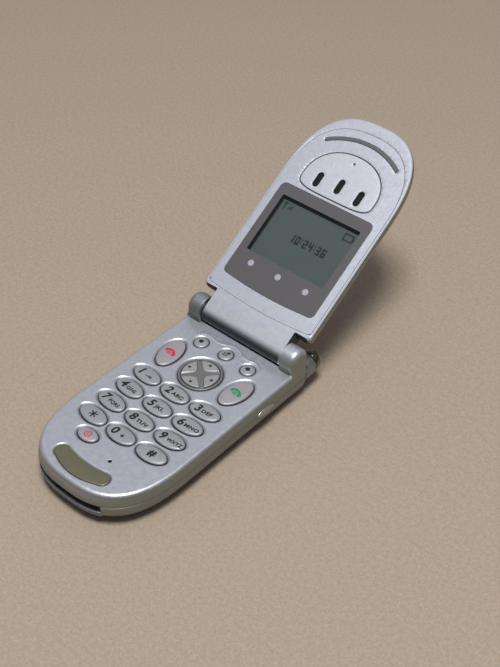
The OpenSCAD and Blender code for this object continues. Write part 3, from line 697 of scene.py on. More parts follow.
# the face: its outline is the rim's last row, closed along the cradle's front edge
rear_pts = np.array([(20.95, 32.62), (19.0, 32.6), (16.85, 32.6), (16.55, 32.95), (16.5, 33.72), (14, 33.72), (9, 33.72),
                     (4, 33.72), (0, 33.72), (-4, 33.72), (-9, 33.72), (-14, 33.72), (-16.5, 33.72), (-16.55, 32.95),
                     (-16.85, 32.6), (-19.0, 32.6), (-20.95, 32.62)])
outline = np.vstack([inner, rear_pts])
hole_tops, hole_rows = [], []
for nm, p, wide, deep in holes:
    ring_rows = []
    prof = [(1.0, 0.0), (0.86, -0.015), (0.68, -0.09), (0.48, -0.26), (0.28, -0.5), (0.1, -0.8), (0.0, -1.0)]
    for k, dz in prof:
        ring_rows.append(ring3(offset_closed(p, wide * k), H + dz * deep))
    bottom = {"badge": 12.0, "mic": 11.3, "nav": 11.5}.get(nm, 11.25)
    ring_rows.append(ring3(p, bottom))
    hole_rows.append(ring_rows)
    hole_tops.append(ring_rows[0][:, :2])
# keep neighbouring slopes apart: where a slope would cross another, it is pulled in
for i, (nm, p, wide, deep) in enumerate(holes):
    cen = p.mean(0)
    for j, (n2, p2, w2, d2) in enumerate(holes):
        if i == j or np.linalg.norm(cen - p2.mean(0)) > 22:
            continue
        d = poly_dist(hole_tops[i], p2, closed=True)
        d0 = poly_dist(p, p2, closed=True)
        lim = d0 * 0.47
        k = np.clip(lim / wide, 0.05, 1)
        for q, (kk, dz) in zip(hole_rows[i], [(1.0, 0), (0.86, 0), (0.68, 0), (0.48, 0), (0.28, 0), (0.1, 0), (0, 0), (0, 0)]):
            full = p + (q[:, :2] - p)
            want = p + (q[:, :2] - p) * k[:, None]
            shrink = np.linalg.norm(want - p, axis=1) < np.linalg.norm(full - p, axis=1)
            q[shrink, :2] = want[shrink]
        hole_tops[i] = hole_rows[i][0][:, :2]
grid = np.stack(np.meshgrid(np.arange(-20.5, 21, 1.6), np.arange(-40, 33, 1.6)), -1).reshape(-1, 2)
ok = inside(grid, outline) & (poly_dist(grid, outline, closed=True) > 0.6)
for t in hole_tops:
    ok &= ~inside(grid, t) & (poly_dist(grid, t, closed=True) > 0.5)
extra = []
for cx, cy, r in HALOS:
    for dr in (-0.45, -0.25, -0.1, 0.1, 0.25, 0.45):
        q = oval(r + dr, r + dr, 72, cx, cy)
        extra.append(q)
tang = np.gradient(WAVE, axis=0)
tang /= np.linalg.norm(tang, axis=1)[:, None]
nrm = np.stack([-tang[:, 1], tang[:, 0]], 1)
for dd in (-0.65, -0.42, -0.28, -0.15, 0, 0.15, 0.28, 0.42, 0.65):
    extra.append(WAVE + nrm * dd)
extra = np.vstack(extra)
eo = inside(extra, outline) & (poly_dist(extra, outline, closed=True) > 0.25)
for t in hole_tops:
    eo &= ~inside(extra, t) & (poly_dist(extra, t, closed=True) > 0.12)
spots = np.vstack([grid[ok], extra[eo]])
v, f = fill(outline, hole_tops, face_z, spots)
shell.add(v, f, 0)
for rr in hole_rows:
    z0 = face_z(rr[0][:, 0], rr[0][:, 1]) - H
    rr[0][:, 2] += z0
    v, f = loft(rr[:-1])
    shell.add(v, f, 0)
    v, f = loft(rr[-2:])
    shell.add(v, f, 1 if rr is hole_rows[-1] else 2)
# rear edge of the face: small fillet, then down to the cradle floor
edge = np.vstack([inner[-1:], rear_pts, inner[:1]])
rr = []
for dy, z in ((0, H), (0.09, H - 0.025), (0.17, H - 0.09), (0.22, H - 0.19), (0.24, H - 0.32), (0.24, 11.4)):
    q = edge.copy()
    q[:, 1] += dy
    rr.append(ring3(q, z))
v, f = loft(rr, closed=False)
shell.add(v, f, 0)
# cradle floor and the top of the rear wall
v, f = loft([ring3(np.array([(22.2, 33.2), (22.2, 40.6), (-22.2, 40.6), (-22.2, 33.2)]), 11.4)], cap0=True)
shell.add(v, [(0, 1, 2, 3)], 1)
top = full_ring(*hi_at(RIM_Z))
rear_only = top[top[:, 1] > 33.0]
ra = []
for d, z in ((0, RIM_Z), (-0.08, RIM_Z + 0.09), (-0.25, 11.5), (-1.1, 11.5)):
    aa, bb, yy = hi_at(RIM_Z)
    p = full_ring(aa + d, bb + d, yy + d)
    ra.append(ring3(p[-(2 + 9 + 12 + 9 + 2):], z))
v, f = loft(ra, closed=False)
shell.add(v, f, 0)


# knuckles: rounded ends, legs that run down flush with the side wall
def knuckle(sgn):
    R = 4.2
    a0 = math.degrees(math.acos(3.45 / R))
    top_arc = arc(AY, AZ, R, 180 + a0, 0, 40)
    prof = np.vstack([[(32.95, 12.35), (33.0, 12.75), (33.12, 13.15)], top_arc,
                      [(40.85, 15.0), (40.88, 13.5), (40.89, 12.0), (40.89, 10.5), (40.89, 8.3)],
                      [(33.1, 8.3), (33.05, 10.5), (33.0, 11.6)]])
    # prof runs clockwise seen from +X; the outward side is on its left
    t = np.roll(prof, -1, 0) - np.roll(prof, 1, 0)
    t /= np.linalg.norm(t, axis=1)[:, None]
    nr = np.stack([-t[:, 1], t[:, 0]], 1)
    mid = prof.mean(0)
    if np.sum((prof - mid) * nr) < 0:
        nr = -nr
    rad_out = np.full(len(prof), 2.1)
    back = prof[:, 0] > 40.5
    rad_out[back] = np.where(prof[back, 1] < 13.5, 2.2, 2.1)
    rad_out[(prof[:, 0] < 33.4) & (prof[:, 1] < 13)] = 0.12
    foot = (prof[:, 0] < 33.4) & (prof[:, 1] >= 13)
    rad_out[foot] = 0.5
    low_f = (prof[:, 0] < 34.4) & (prof[:, 1] >= 13.2)
    rad_out[low_f] = np.clip(0.5 + (prof[low_f, 1] - 13.2) / 1.6 * 1.6, 0.5, 2.1)
    x_in, x_out = 16.6, 22.33
    pts_rows = []
    for k in range(6):
        th = math.radians(90 * k / 5)       # 0 at the end face, 90 on the round side
        q = prof - nr * (0.25 * (1 - math.sin(th)))
        pts_rows.append(np.column_stack([np.full(len(q), x_in + 0.25 * (1 - math.cos(th))), q]))
    for k in range(9):
        th = math.radians(90 * k / 8)
        q = prof - nr * (rad_out * (1 - math.cos(th)))[:, None]
        x = x_out - rad_out * (1 - math.sin(th))
        pts_rows.append(np.column_stack([x, q]))
    for row in pts_rows:
        far = np.clip((row[:, 0] - 20.5) / 1.5, 0, 1)
        row[:, 0] += far * np.interp(row[:, 2], [8, 9.8, 11.2, 12.3, 14], [0.16, 0.16, 0.1, 0.03, 0.0])
        row[:, 0] *= sgn
    v, f = loft(pts_rows, closed=True, cap0=True, cap1=True)
    return v, f


# the left knuckle takes the darker knuckle lacquer, painted shade
for sgn in (1, -1):
    v, f = knuckle(sgn)
    shell.add(v, f, 0 if sgn > 0 else 3)
front_shell = shell.make("front_shell", [M["face"], M["void"], M["key_side"], M["knuckle"]], merge=0.003, angle=42)
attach(front_shell, "base")
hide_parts("front_housing")

# ---------------------------------------------------------------- keys
SLOT_OF = {}


def key_dome(cx, cy, a, b, rot, top=12.75, rise=0.16, lip=0.45):
    c, s = math.cos(math.radians(rot)), math.sin(math.radians(rot))
    A, B = a - 0.07 - lip, b - 0.07 - lip

    def z(x, y):
        lx = (x - cx) * c + (y - cy) * s
        ly = -(x - cx) * s + (y - cy) * c
        return top - rise * np.minimum(1, (lx / A) ** 2 + (ly / B) ** 2)
    return z


def key_mesh(name, cx, cy, a, b, rot, mat):
    n = 72 if a > 3 else 48
    a, b = a - 0.07, b - 0.07
    edge = 12.75 - 0.16
    out = Soup()
    rows = []
    for da, z in ((0.42, 10.72), (0.42, 11.13), (0.0, 11.13), (0.0, 12.12)):
        rows.append(ring3(oval(a + da, b + da, n, cx, cy, rot), z))
    v, f = loft(rows, cap0=True)
    out.add(v, f, 1)
    rows = []
    for d, z in ((0.0, 12.12), (0.02, 12.26), (0.07, 12.38), (0.15, 12.47), (0.27, 12.545), (0.45, edge)):
        rows.append(ring3(oval(a - d, b - d, n, cx, cy, rot), z))
    for k in (0.86, 0.7, 0.52, 0.34, 0.17):
        rows.append(ring3(oval((a - 0.45) * k, (b - 0.45) * k, n, cx, cy, rot), 12.75 - 0.16 * k * k))
    v, f = loft(rows)
    v = np.vstack([v, [[cx, cy, 12.75]]])
    m = len(v) - 1
    last = (len(rows) - 1) * n
    f += [(last + j, last + (j + 1) % n, m) for j in range(n)]
    out.add(v, f, 0)
    ob = out.make(name + "_cap", [mat, M["key_side"]], merge=0.001, angle=60)
    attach(ob, name)
    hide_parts(name)
    return ob


def text_points(s, size, bold=0.0, spacing=1.0, xscale=1.0, shear=0.0):
    cu = bpy.data.curves.new("t", "FONT")
    cu.body = s
    cu.size = 1.0
    cu.align_x = "LEFT"
    cu.space_character = spacing
    cu.resolution_u = 3
    cu.shear = shear
    cu.offset = bold
    o = bpy.data.objects.new("t", cu)
    bpy.context.scene.collection.objects.link(o)
    bpy.context.view_layer.update()
    me = bpy.data.meshes.new_from_object(o.evaluated_get(bpy.context.evaluated_depsgraph_get()))
    v = np.array([tuple(x.co) for x in me.vertices])
    f = [tuple(p.vertices) for p in me.polygons]
    bpy.data.objects.remove(o)
    bpy.data.meshes.remove(me)
    v = v[:, :2]
    h = 0.73 if s[0] in "0123456789ABCDEFGHIJKLMNOPQRSTUVWXYZ#" else (v[:, 1].max() - v[:, 1].min())
    v = (v - np.array([v[:, 0].min(), v[:, 1].min()])) / h * size
    v[:, 0] *= xscale
    return v, f


def refine(v, f, longest=0.42):
    """Cuts a flat shape finely enough to follow a curved surface."""
    bm = bmesh.new()
    vs_ = [bm.verts.new((a, b, 0)) for a, b in v]
    for q in f:
        try:
            bm.faces.new([vs_[i] for i in q])
        except ValueError:
            pass
    for _ in range(5):
        bmesh.ops.triangulate(bm, faces=bm.faces)
        long_ = [e for e in bm.edges if e.calc_length() > longest]
        if not long_:
            break
        bmesh.ops.subdivide_edges(bm, edges=long_, cuts=1)
    bmesh.ops.triangulate(bm, faces=bm.faces)
    bm.verts.index_update()
    v2 = np.array([tuple(q.co)[:2] for q in bm.verts])
    f2 = [tuple(x.index for x in q.verts) for q in bm.faces]
    bm.free()
    return v2, f2


def put_text(out, s, size, at, rot, zf, centre=(0.0, 0.5), m=0, lift=0.018, **k):
    """Flat lettering laid just above a surface. centre says which part of it sits at the point."""
    v, f = text_points(s, size, **k)
    w, h = v[:, 0].max(), v[:, 1].max()
    v = v - np.array([w * centre[0], h * centre[1]])
    v, f = refine(v, f)
    c, sn = math.cos(math.radians(rot)), math.sin(math.radians(rot))
    x = at[0] + v[:, 0] * c - v[:, 1] * sn
    y = at[1] + v[:, 0] * sn + v[:, 1] * c
    out.add(np.column_stack([x, y, zf(x, y) + lift]), f, m)


def put_shape(out, pts, at, rot, zf, m=0, lift=0.018, faces=None):
    c, sn = math.cos(math.radians(rot)), math.sin(math.radians(rot))
    p, faces = refine(np.asarray(pts, float), faces or [tuple(range(len(pts)))])
    x = at[0] + p[:, 0] * c - p[:, 1] * sn
    y = at[1] + p[:, 0] * sn + p[:, 1] * c
    out.add(np.column_stack([x, y, zf(x, y) + lift]), faces, m)


def ring_band(r0, r1, a0=0, a1=360, n=40):
    t = np.radians(np.linspace(a0, a1, n))
    v = np.vstack([np.stack([r0 * np.cos(t), r0 * np.sin(t)], 1), np.stack([r1 * np.cos(t), r1 * np.sin(t)], 1)])
    return v, [(i, i + 1, n + i + 1, n + i) for i in range(n - 1)]


LETTERS = {"2": "ABC", "3": "DEF", "4": "GHI", "5": "JKL", "6": "MNO", "7": "PQRS", "8": "TUV", "9": "WXYZ"}
pos = {k[0]: k for k in KEYS}
for nm, cx, cy, a, b, rot in KEYS:
    mat = M["key_pink"] if nm in ("key_end", "key_send", "key_power") else M["key"]
    cap = key_mesh(nm, cx, cy, a, b, rot, mat)
    zf = key_dome(cx, cy, a, b, rot)
    c, sn = math.cos(math.radians(rot)), math.sin(math.radians(rot))

    def loc2(lx, ly):
        return (cx + lx * c - ly * sn, cy + lx * sn + ly * c)
    ink = Soup()
    kind = nm[4:]
    colour = M["ink"]
    if kind in LETTERS or kind in ("1", "0"):
        put_text(ink, kind, 2.85, loc2(-2.3, 0.1), rot, zf, (0.5, 0.5), bold=0.035, shear=0.12, xscale=1.08)
        if kind in LETTERS:
            put_text(ink, LETTERS[kind], 1.28, loc2(-0.75, -0.4), rot, zf, (0, 0.5), bold=0.045,
                     spacing=1.1, xscale=1.2 if len(LETTERS[kind]) < 4 else 0.98)
        elif kind == "0":
            put_text(ink, "+", 1.25, loc2(0.85, -0.35), rot, zf, (0.5, 0.5), bold=0.05)
        else:
            v, f = ring_band(0.32, 0.58, 200, 340, 14)
            put_shape(ink, v, loc2(0.25, -0.2), rot, zf, faces=f)
            for dx in (1.25, 1.95):
                v, f = ring_band(0.16, 0.42, 0, 360, 22)
                put_shape(ink, v, loc2(dx, -0.35), rot, zf, faces=f)
            put_shape(ink, [(1.2, -0.8), (2.0, -0.8), (2.0, -0.58), (1.2, -0.58)], loc2(0, 0), rot, zf)
    elif kind == "hash":
        put_text(ink, "#", 2.5, loc2(0.15, 0), rot, zf, (0.5, 0.5), bold=0.045, xscale=1.08)
    elif kind == "star":
        for t in (90, 30, 150):
            d = math.radians(t)
            ux, uy = math.cos(d), math.sin(d)
            L, w = 1.45, 0.22
            put_shape(ink, [(-ux * L - uy * w, -uy * L + ux * w), (-ux * L + uy * w, -uy * L - ux * w),
                            (ux * L + uy * w, uy * L - ux * w), (ux * L - uy * w, uy * L + ux * w)],
                      loc2(0.1, 0), rot, zf, lift=0.018 + t * 1e-5)
    elif kind in ("end", "send"):
        colour = M["red"] if kind == "end" else M["green"]
        spin = -14
        v, f = ring_band(1.05, 2.1, 22, 158, 30)
        put_shape(ink, v * np.array([1.05, 0.82]) + np.array([0, -0.55]), loc2(0, 0.1), spin, zf, faces=f)
        for sx in (-1, 1):
            q = [(sx * x, y) for x, y in ((0.98, -0.95), (2.15, -0.85), (2.3, 0.02), (1.95, 0.4), (1.15, 0.3))]
            put_shape(ink, q if sx > 0 else q[::-1], loc2(0, 0.1), spin, zf, lift=0.02)
        for yy in (-0.3, -0.78, -1.26):
            put_shape(ink, [(-0.72, yy), (0.72, yy), (0.72, yy + 0.3), (-0.72, yy + 0.3)], loc2(0, 0.1), spin, zf,
                      lift=0.024)
    elif kind == "power":
        colour = M["red"]
        v, f = ring_band(0.9, 1.22, 0, 360, 44)
        put_shape(ink, v, loc2(0.1, 0), rot, zf, faces=f)
        v, f = ring_band(0.3, 0.52, 125, 415, 26)
        put_shape(ink, v, loc2(0.1, 0), rot, zf, faces=f)
        put_shape(ink, [(0.0, 0.1), (0.2, 0.1), (0.2, 0.62), (0.0, 0.62)], loc2(0, 0), rot, zf, lift=0.022)
    elif nm == "menu_key":
        for i, (x0, x1, y) in enumerate(((-1.0, 0.3, -0.95), (-0.95, 0.3, -0.42), (-0.9, 0.3, 0.11))):
            put_shape(ink, [(x0, y), (x1, y), (x1, y + 0.27), (x0, y + 0.27)], (cx, cy), 0, zf)
        put_shape(ink, [(-0.15, 0.55), (1.15, 0.55), (1.2, 1.4), (0.8, 1.1), (0.3, 1.4)], (cx, cy), 0, zf, lift=0.022)
        put_shape(ink, [(0.55, -0.95), (0.85, -0.95), (0.85, 0.6), (0.55, 0.6)], (cx, cy), 0, zf)
    else:
        put_shape(ink, oval(0.78, 0.78, 30), (cx - 0.1, cy + 0.15), 0, zf)
    ob = ink.make(nm + "_legend", [colour], merge=0, weighted=False)
    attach(ob, nm)

# ---------------------------------------------------------------- navigation disc
def nav_z(r, th):
    x, y = r * np.cos(th), r * np.sin(th)
    u, w = (x + y) / math.sqrt(2), (x - y) / math.sqrt(2)
    dc = np.minimum(np.abs(u), np.abs(w))
    half = 0.6 + 1.15 * np.exp(-(r / 1.9) ** 2)
    e = np.minimum(np.minimum(dc - half, 6.18 - r), (r - 1.7) * 0.8)
    t = np.clip(e / 0.42, 0, 1)
    pad = t * t * (3 - 2 * t)
    floor_ = 12.3 - 0.1 * np.exp(-(r / 1.5) ** 2) + 0.03 * np.clip(r / 6, 0, 1)
    slope = np.clip((r - 1.6) / 2.4, 0, 1)
    top = 12.52 + 0.14 * slope - 0.05 * np.clip((r - 4.2) / 2, 0, 1) ** 2
    z = floor_ + (top - floor_) * pad
    ringz = 12.46
    k = np.clip((r - 6.26) / 0.12, 0, 1)
    groove = np.clip(1 - np.abs(r - 6.22) / 0.16, 0, 1)
    z = np.where(r > 6.2, z + (ringz - z) * k, z) - 0.2 * groove
    edge = np.clip((r - 6.75) / 0.3, 0, 1)
    return z - 0.22 * edge ** 2, pad, groove


nt_, nr_ = 256, None
radii = np.r_[np.linspace(0.12, 6.0, 60), np.linspace(6.06, 6.4, 9), np.linspace(6.5, 7.05, 8)]
th = np.linspace(0, 2 * math.pi, nt_, endpoint=False)
nav = Soup()
rows, pads, grooves = [], [], []
for r in radii[::-1]:
    z, p, g = nav_z(np.full(nt_, r), th)
    rows.append(np.column_stack([r * np.cos(th), 15.05 + r * np.sin(th), z]))
    pads.append(p)
    grooves.append(g)
v, f = loft(rows)
# painted shade: the recessed cross takes the darker nav grey, and the slopes from the pads down to it the dark gap
# colour
fm = []
for i in range(len(rows) - 1):
    for j in range(nt_):
        rr_ = radii[::-1][i]
        if grooves[i][j] > 0.35:
            fm.append(2)
        elif rr_ > 6.2:
            fm.append(1)
        else:
            fm.append(0 if pads[i][j] > 0.5 else (2 if pads[i][j] > 0.06 else 1))
v = np.vstack([v, [[0, 15.05, nav_z(np.array([0.0]), np.array([0.0]))[0][0]]]])
last = (len(rows) - 1) * nt_
f += [(last + j, last + (j + 1) % nt_, len(v) - 1) for j in range(nt_)]
fm += [1] * nt_
nav.v.append(v)
nav.f += f
nav.m += fm
nav.n = len(v)
rows = [ring3(oval(q, q, nt_, 0, 15.05), z) for q, z in ((7.05, nav_z(np.array([7.05]), np.array([0.3]))[0][0]),
                                                      (7.05, 11.05), (7.7, 11.05), (7.7, 10.72))]
v, f = loft(rows, cap1=True)
nav.add(v, f, 2)
nav_top = nav.make("nav_disc_cap", [M["nav"], M["nav_cross"], M["key_side"]], merge=0.001, angle=70)
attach(nav_top, "nav_disc")
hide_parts("nav_disc")
dots = Soup()
for k in range(4):
    d = k * math.pi / 2
    cx, cy = 4.6 * math.cos(d), 15.05 + 4.6 * math.sin(d)
    t = [(0.78, 0), (-0.42, 0.62), (-0.42, -0.62)]
    put_shape(dots, t, (cx, cy), math.degrees(d),
              lambda x, y: nav_z(np.hypot(x, y - 15.05), np.arctan2(y - 15.05, x))[0], lift=0.02)
ob = dots.make("nav_disc_legend", [M["ink"]], merge=0, weighted=False)
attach(ob, "nav_disc")

# ---------------------------------------------------------------- badge plate, microphone cloth
bp = Soup()
p0 = ccw(badge_outline(-0.02))
rows = [ring3(p0, 12.0), ring3(p0, 12.3), ring3(offset_closed(p0, -0.06), 12.38), ring3(offset_closed(p0, -0.2), 12.42)]
v, f = loft(rows, cap0=True)
bp.add(v, f, 0)
in_ = offset_closed(p0, -0.2)
g = np.stack(np.meshgrid(np.arange(-10, 10.1, 0.9), np.arange(-39.5, -31, 0.8)), -1).reshape(-1, 2)
g = g[inside(g, in_) & (poly_dist(g, in_, closed=True) > 0.4)]
v, f = fill(in_, [], lambda x, y: 12.42 + 0.05 * np.clip(poly_dist(np.stack([x, y], 1), in_, closed=True) / 1.6, 0, 1) ** 0.6, g)
bp.add(v, f, 0)
ob = bp.make("badge_face", [M["badge"]], merge=0.002, angle=50)
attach(ob, "base")
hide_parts("badge_plate")
mc = Soup()
v, f = loft([ring3(oval(0.52, 0.52, 24, 5.1, -28.7), 11.9), ring3(oval(0.2, 0.2, 24, 5.1, -28.7), 11.88)], cap1=True)
mc.add(v, f, 0)
ob = mc.make("microphone_cloth", [M["void"]], merge=0)
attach(ob, "base")

# ---------------------------------------------------------------- lid shell
LL = [[-5.2, 7.5, 15, 19], [-5.1, 11.5, 20, 15], [-4.8, 15.2, 24, 12], [-4.2, 18.2, 26.8, 9.8],
      [-3.4, 19.7, 28.6, 8.2], [-2.4, 20.65, 29.7, 7], [-1.2, 21.25, 30.2, 6.5], [0.5, 21.75, 30.2, 6.4],
      [2.45, 21.9, 30, 6.8], [2.88, 21.6, 29.65, 7.1]]
_tt = np.linspace(0, math.pi, 961)
_lp = np.stack([22.2 * sgnpow(np.cos(_tt), 2 / 2.7), 50 + 30.2 * sgnpow(np.sin(_tt), 2 / 2.7)], 1)
_ld = np.r_[0, np.cumsum(np.linalg.norm(np.diff(_lp, axis=0), axis=1))]
_lt = np.interp(np.linspace(0, _ld[-1], 118), _ld, _tt)
RA, RH, RC = 3.86, 3.13, -0.25


def lid_ring(w, inset=0.0):
    a, b, us = smooth_levels(LL, np.array([float(w)]))[0]
    k = min(1.0, max(0.0, (w - 2.4) / 0.48))
    sink = inset + 0.26 * (1 - math.sqrt(max(0.0, 1 - k * k)))
    a, b = a - sink, b - sink
    rc = 1.0 if w > 1 else 1.2
    if w >= RC - RH:
        ue = -RA * math.sqrt(max(0.0, 1 - ((w - RC) / RH) ** 2))
    elif w > -4.0:
        ue = float(np.interp(-w, [3.38, 3.45, 3.6, 4.0], [0.0, 1.2, 4.0, 9.4]))
    else:
        ue = us
    nx = 16.16 - 0.12 * max(0.0, (w - 2.6) / 0.28)
    nx = min(nx, a - rc - 0.15)
    ue = min(ue, us - 0.02)
    tip = np.stack([a * sgnpow(np.cos(_lt), 2 / 2.7), 50 + b * sgnpow(np.sin(_lt), 2 / 2.7)], 1)
    ls = np.column_stack([np.full(14, -a), np.linspace(48.5, us + rc + 0.6, 14)])
    lc = arc(-a + rc, us + rc, rc, 180, 270, 8)
    x0, x1 = -a + rc, -nx
    cf = min(0.35, (us - ue) * 0.45, abs(x1 - x0) * 0.6)
    le = np.column_stack([np.linspace(x0, x1 - cf, 4)[1:], np.full(3, us)])
    cc = np.array([(x1 - cf + cf * math.sin(q), us - cf + cf * math.cos(q))
                   for q in np.linspace(0, math.pi / 2, 5)])[1:]
    rk = max(0.02, min(0.55, (us - cf - ue) * 0.3))
    nsd = np.column_stack([np.full(6, x1), np.linspace(us - cf, ue + rk, 8)[1:-1]])
    nk = np.array([(x1 + rk - rk * math.cos(q), ue + rk - rk * math.sin(q)) for q in np.linspace(0, math.pi / 2, 7)[:-1]])
    end = np.column_stack([np.linspace(x1 + rk, -x1 - rk, 26), np.full(26, ue)])
    half = np.vstack([ls, lc, le, cc, nsd, nk])
    other = half[::-1].copy()
    other[:, 0] *= -1
    return np.vstack([tip, half, end, other])


def panel_outline(d=0.0, num=300):
    t = np.linspace(0, math.pi, 400)
    top = np.stack([(21.1 + d) * sgnpow(np.cos(t), 2 / 2.6), 50 + (25.8 + d) * sgnpow(np.sin(t), 2 / 2.6)], 1)
    top = resample(top, 150)
    q = 21.1 + d
    x = np.linspace(-q, q, 45)
    low = np.column_stack([x, 7.1 - d + 1.3 * (x / 21) ** 2])
    r = 0.95
    left = np.column_stack([np.full(24, -q), np.linspace(50, low[0, 1] + r, 26)[1:-1]])
    ca = np.array([(-q + r - r * math.cos(s), low[0, 1] + r - r * math.sin(s)) for s in np.linspace(0, math.pi / 2, 5)])
    cb = ca[::-1].copy()
    cb[:, 0] *= -1
    right = left[::-1].copy()
    right[:, 0] *= -1
    k = (np.abs(x) < q - r)
    return np.vstack([top, left, ca, low[k], cb, right])


def lens_outline(d=0.0):
    p = [arc(16.5, 47.1, 2 + d, 0, 90, 10), arc(-16.5, 47.1, 2 + d, 90, 180, 10),
         arc(-16.7, 14.8, 1.8 + d, 180, 258, 9)]
    x = np.linspace(-16, 16, 24)[1:-1]
    p.append(np.column_stack([x, 12.15 - d + 0.0033 * x * x]))
    p.append(arc(16.7, 14.8, 1.8 + d, 282, 360, 9))
    return np.vstack(p)


def ear_outline(d=0.0):
    t = np.linspace(0, math.pi, 400)
    up = np.stack([(14.2 + d) * sgnpow(np.cos(t), 0.93), 55 + (12 + d) * sgnpow(np.sin(t), 0.93)], 1)
    t = np.linspace(math.pi, 2 * math.pi, 400)[1:-1]
    dn = np.stack([(14.2 + d) * sgnpow(np.cos(t), 0.5), 55 + (4.7 + d) * sgnpow(np.sin(t), 0.5)], 1)
    return resample(np.vstack([up, dn]), 150, closed=True)


def strip_outline(w):
    cx, cy, R = 0.0, 46.4, 25.95
    o = arc(cx, cy, R + w, 57.3, 122.7, 48)
    a0 = math.radians(122.7)
    e1 = np.array([(R * math.cos(a0) + w * math.cos(a0 + s), cy + R * math.sin(a0) + w * math.sin(a0 + s))
                   for s in np.linspace(0, math.pi, 9)[1:-1]])
    i = arc(cx, cy, R - w, 122.7, 57.3, 48)
    a1 = math.radians(57.3)
    e2 = np.array([(R * math.cos(a1) + w * math.cos(a1 + s), cy + R * math.sin(a1) + w * math.sin(a1 + s))
                   for s in np.linspace(math.pi, 2 * math.pi, 9)[1:-1]])
    return np.vstack([o, e1, i, e2])


def finish_lid(ob, rep=()):
    me = ob.data
    co = np.zeros(len(me.vertices) * 3)
    me.vertices.foreach_get("co", co)
    co = lid(co.reshape(-1, 3) / MM) * MM
    me.vertices.foreach_set("co", co.ravel())
    me.update()
    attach(ob, "lid")
    if rep:
        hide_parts(*rep)
    return ob


W_IN = 2.88
ws = [-5.2, -5.17, -5.1, -5.0, -4.85, -4.65, -4.4, -4.15, -4.0, -3.85, -3.72, -3.6, -3.5, -3.44]
ws += [RC + RH * math.sin(math.radians(q)) for q in list(range(-86, 66, 5)) + [68, 71, 74, 77, 80, 83, 86]] + [2.8745, W_IN]
ws = sorted(set(ws))
sh = Soup()
GROOVE = (2.0, 2.17)
ws = sorted(w for w in set(ws) | {1.96, 2.0, 2.03, 2.14, 2.17, 2.21, 2.45, 2.55, 2.65, 2.74, 2.81, 2.85} if w <= W_IN)
rings = [ring3(lid_ring(w, 0.13 if GROOVE[0] < w < GROOVE[1] else 0.0), w) for w in ws]
v, f = loft(rings, cap0=True)
# faces sorted by place; the notch walls and shoulder undersides beside the neck get the dark notch lacquer, painted
# shade
f_roll, f_notch_shade, f_rest, f_line, f_edge = [], [], [], [], []
for q in f:
    c3 = v[list(q)].mean(0) if len(q) == 4 else np.array([0, 60, -5.2])
    if abs(c3[0]) < 16.14 and c3[1] < 3.4 and c3[2] > -3.3:
        f_roll.append(q)
    elif GROOVE[0] < c3[2] < GROOVE[1] and c3[1] > 8.5:
        f_line.append(q)
    elif c3[2] > 2.45 and c3[1] > 9.3:
        f_edge.append(q)
    elif 15.86 < abs(c3[0]) and c3[1] < 9.3 and -2.6 < c3[2] < 2.86 and abs(c3[0]) < 20.6:
        f_notch_shade.append(q)
    else:
        f_rest.append(q)
sh.add(v, f_rest, 0)
sh.f += [tuple(q) for q in f_roll] + [tuple(q) for q in f_notch_shade]
sh.f += [tuple(q) for q in f_line] + [tuple(q) for q in f_edge]
sh.m += [2] * len(f_roll) + [3] * len(f_notch_shade) + [1] * len(f_line) + [4] * len(f_edge)
top = ccw(rings[-1][:, :2])
op = [ccw(panel_outline(d)) for d in (0.18, 0.1, 0.06)]
v, f = fill(top, [op[0]], W_IN, spots_in(1.3, top, [op[0]], 0.5))
cen = np.array([v[list(q)].mean(0) for q in f])
sh.add(v, [q for q, c3 in zip(f, cen) if c3[1] > 3.4], 0)
sh.add(v, [q for q, c3 in zip(f, cen) if c3[1] <= 3.4], 2)
v, f = loft([ring3(op[0], W_IN), ring3(op[1], W_IN - 0.03), ring3(op[2], W_IN - 0.1)])
sh.add(v, f, 4)
v, f = loft([ring3(op[2], W_IN - 0.1), ring3(op[2], 1.2)])
sh.add(v, f, 1)
lid_shell = sh.make("lid_shell", [M["lid"], M["key_side"], M["barrel"], M["lid_dark"], M["lid_edge"]], merge=0.003, angle=38)
finish_lid(lid_shell, ["lid_outer_shell"])

# inset face panel
pn = Soup()
PW = 2.86
rows = [ring3(ccw(panel_outline(d)), w) for d, w in ((-0.03, 1.25), (-0.03, 2.62))]
v, f = loft(rows)
pn.add(v, f, 1)
rows = [ring3(ccw(panel_outline(d)), w) for d, w in ((-0.03, 2.62), (-0.03, PW - 0.015), (-0.045, PW))]
v, f = loft(rows)
pn.add(v, f, 0)
pout = rows[-1][:, :2]
lh = ccw(lens_outline(0.05))
eh = [ccw(ear_outline(d)) for d in (0.5, 0.42, 0.34, 0.1)]
shh = [ccw(strip_outline(w)) for w in (0.76, 0.74, 0.72)]
v, f = fill(pout, [lh, eh[0], shh[0]], PW, spots_in(1.3, pout, [lh, eh[0], shh[0]], 0.4))
pn.add(v, f, 0)
v, f = loft([ring3(lh, PW), ring3(lh, 2.2)])
pn.add(v, f, 1)
v, f = loft([ring3(eh[0], PW), ring3(eh[1], PW - 0.03), ring3(eh[2], PW - 0.12)])
pn.add(v, f, 2)
v, f = loft([ring3(eh[2], PW - 0.12), ring3(eh[2], 2.45), ring3(eh[3], 2.4)])
pn.add(v, f, 1)
v, f = loft([ring3(shh[0], PW), ring3(shh[1], PW - 0.01), ring3(shh[2], PW - 0.14)])
pn.add(v, f, 0)
v, f = loft([ring3(shh[2], PW - 0.14), ring3(shh[2], 2.4)], cap1=False)
pn.add(v, f, 1)
ob = pn.make("lid_panel", [M["lid"], M["key_side"], M["lid_edge"]], merge=0.002, angle=38)
finish_lid(ob, ["lid_face_panel"])

# printed lens with its window
LW = 2.85


def rrect(x0, x1, y0, y1, r, n=5):
    return np.vstack([arc(x1 - r, y0 + r, r, -90, 0, n), arc(x1 - r, y1 - r, r, 0, 90, n),
                      arc(x0 + r, y1 - r, r, 90, 180, n), arc(x0 + r, y0 + r, r, 180, 270, n)])


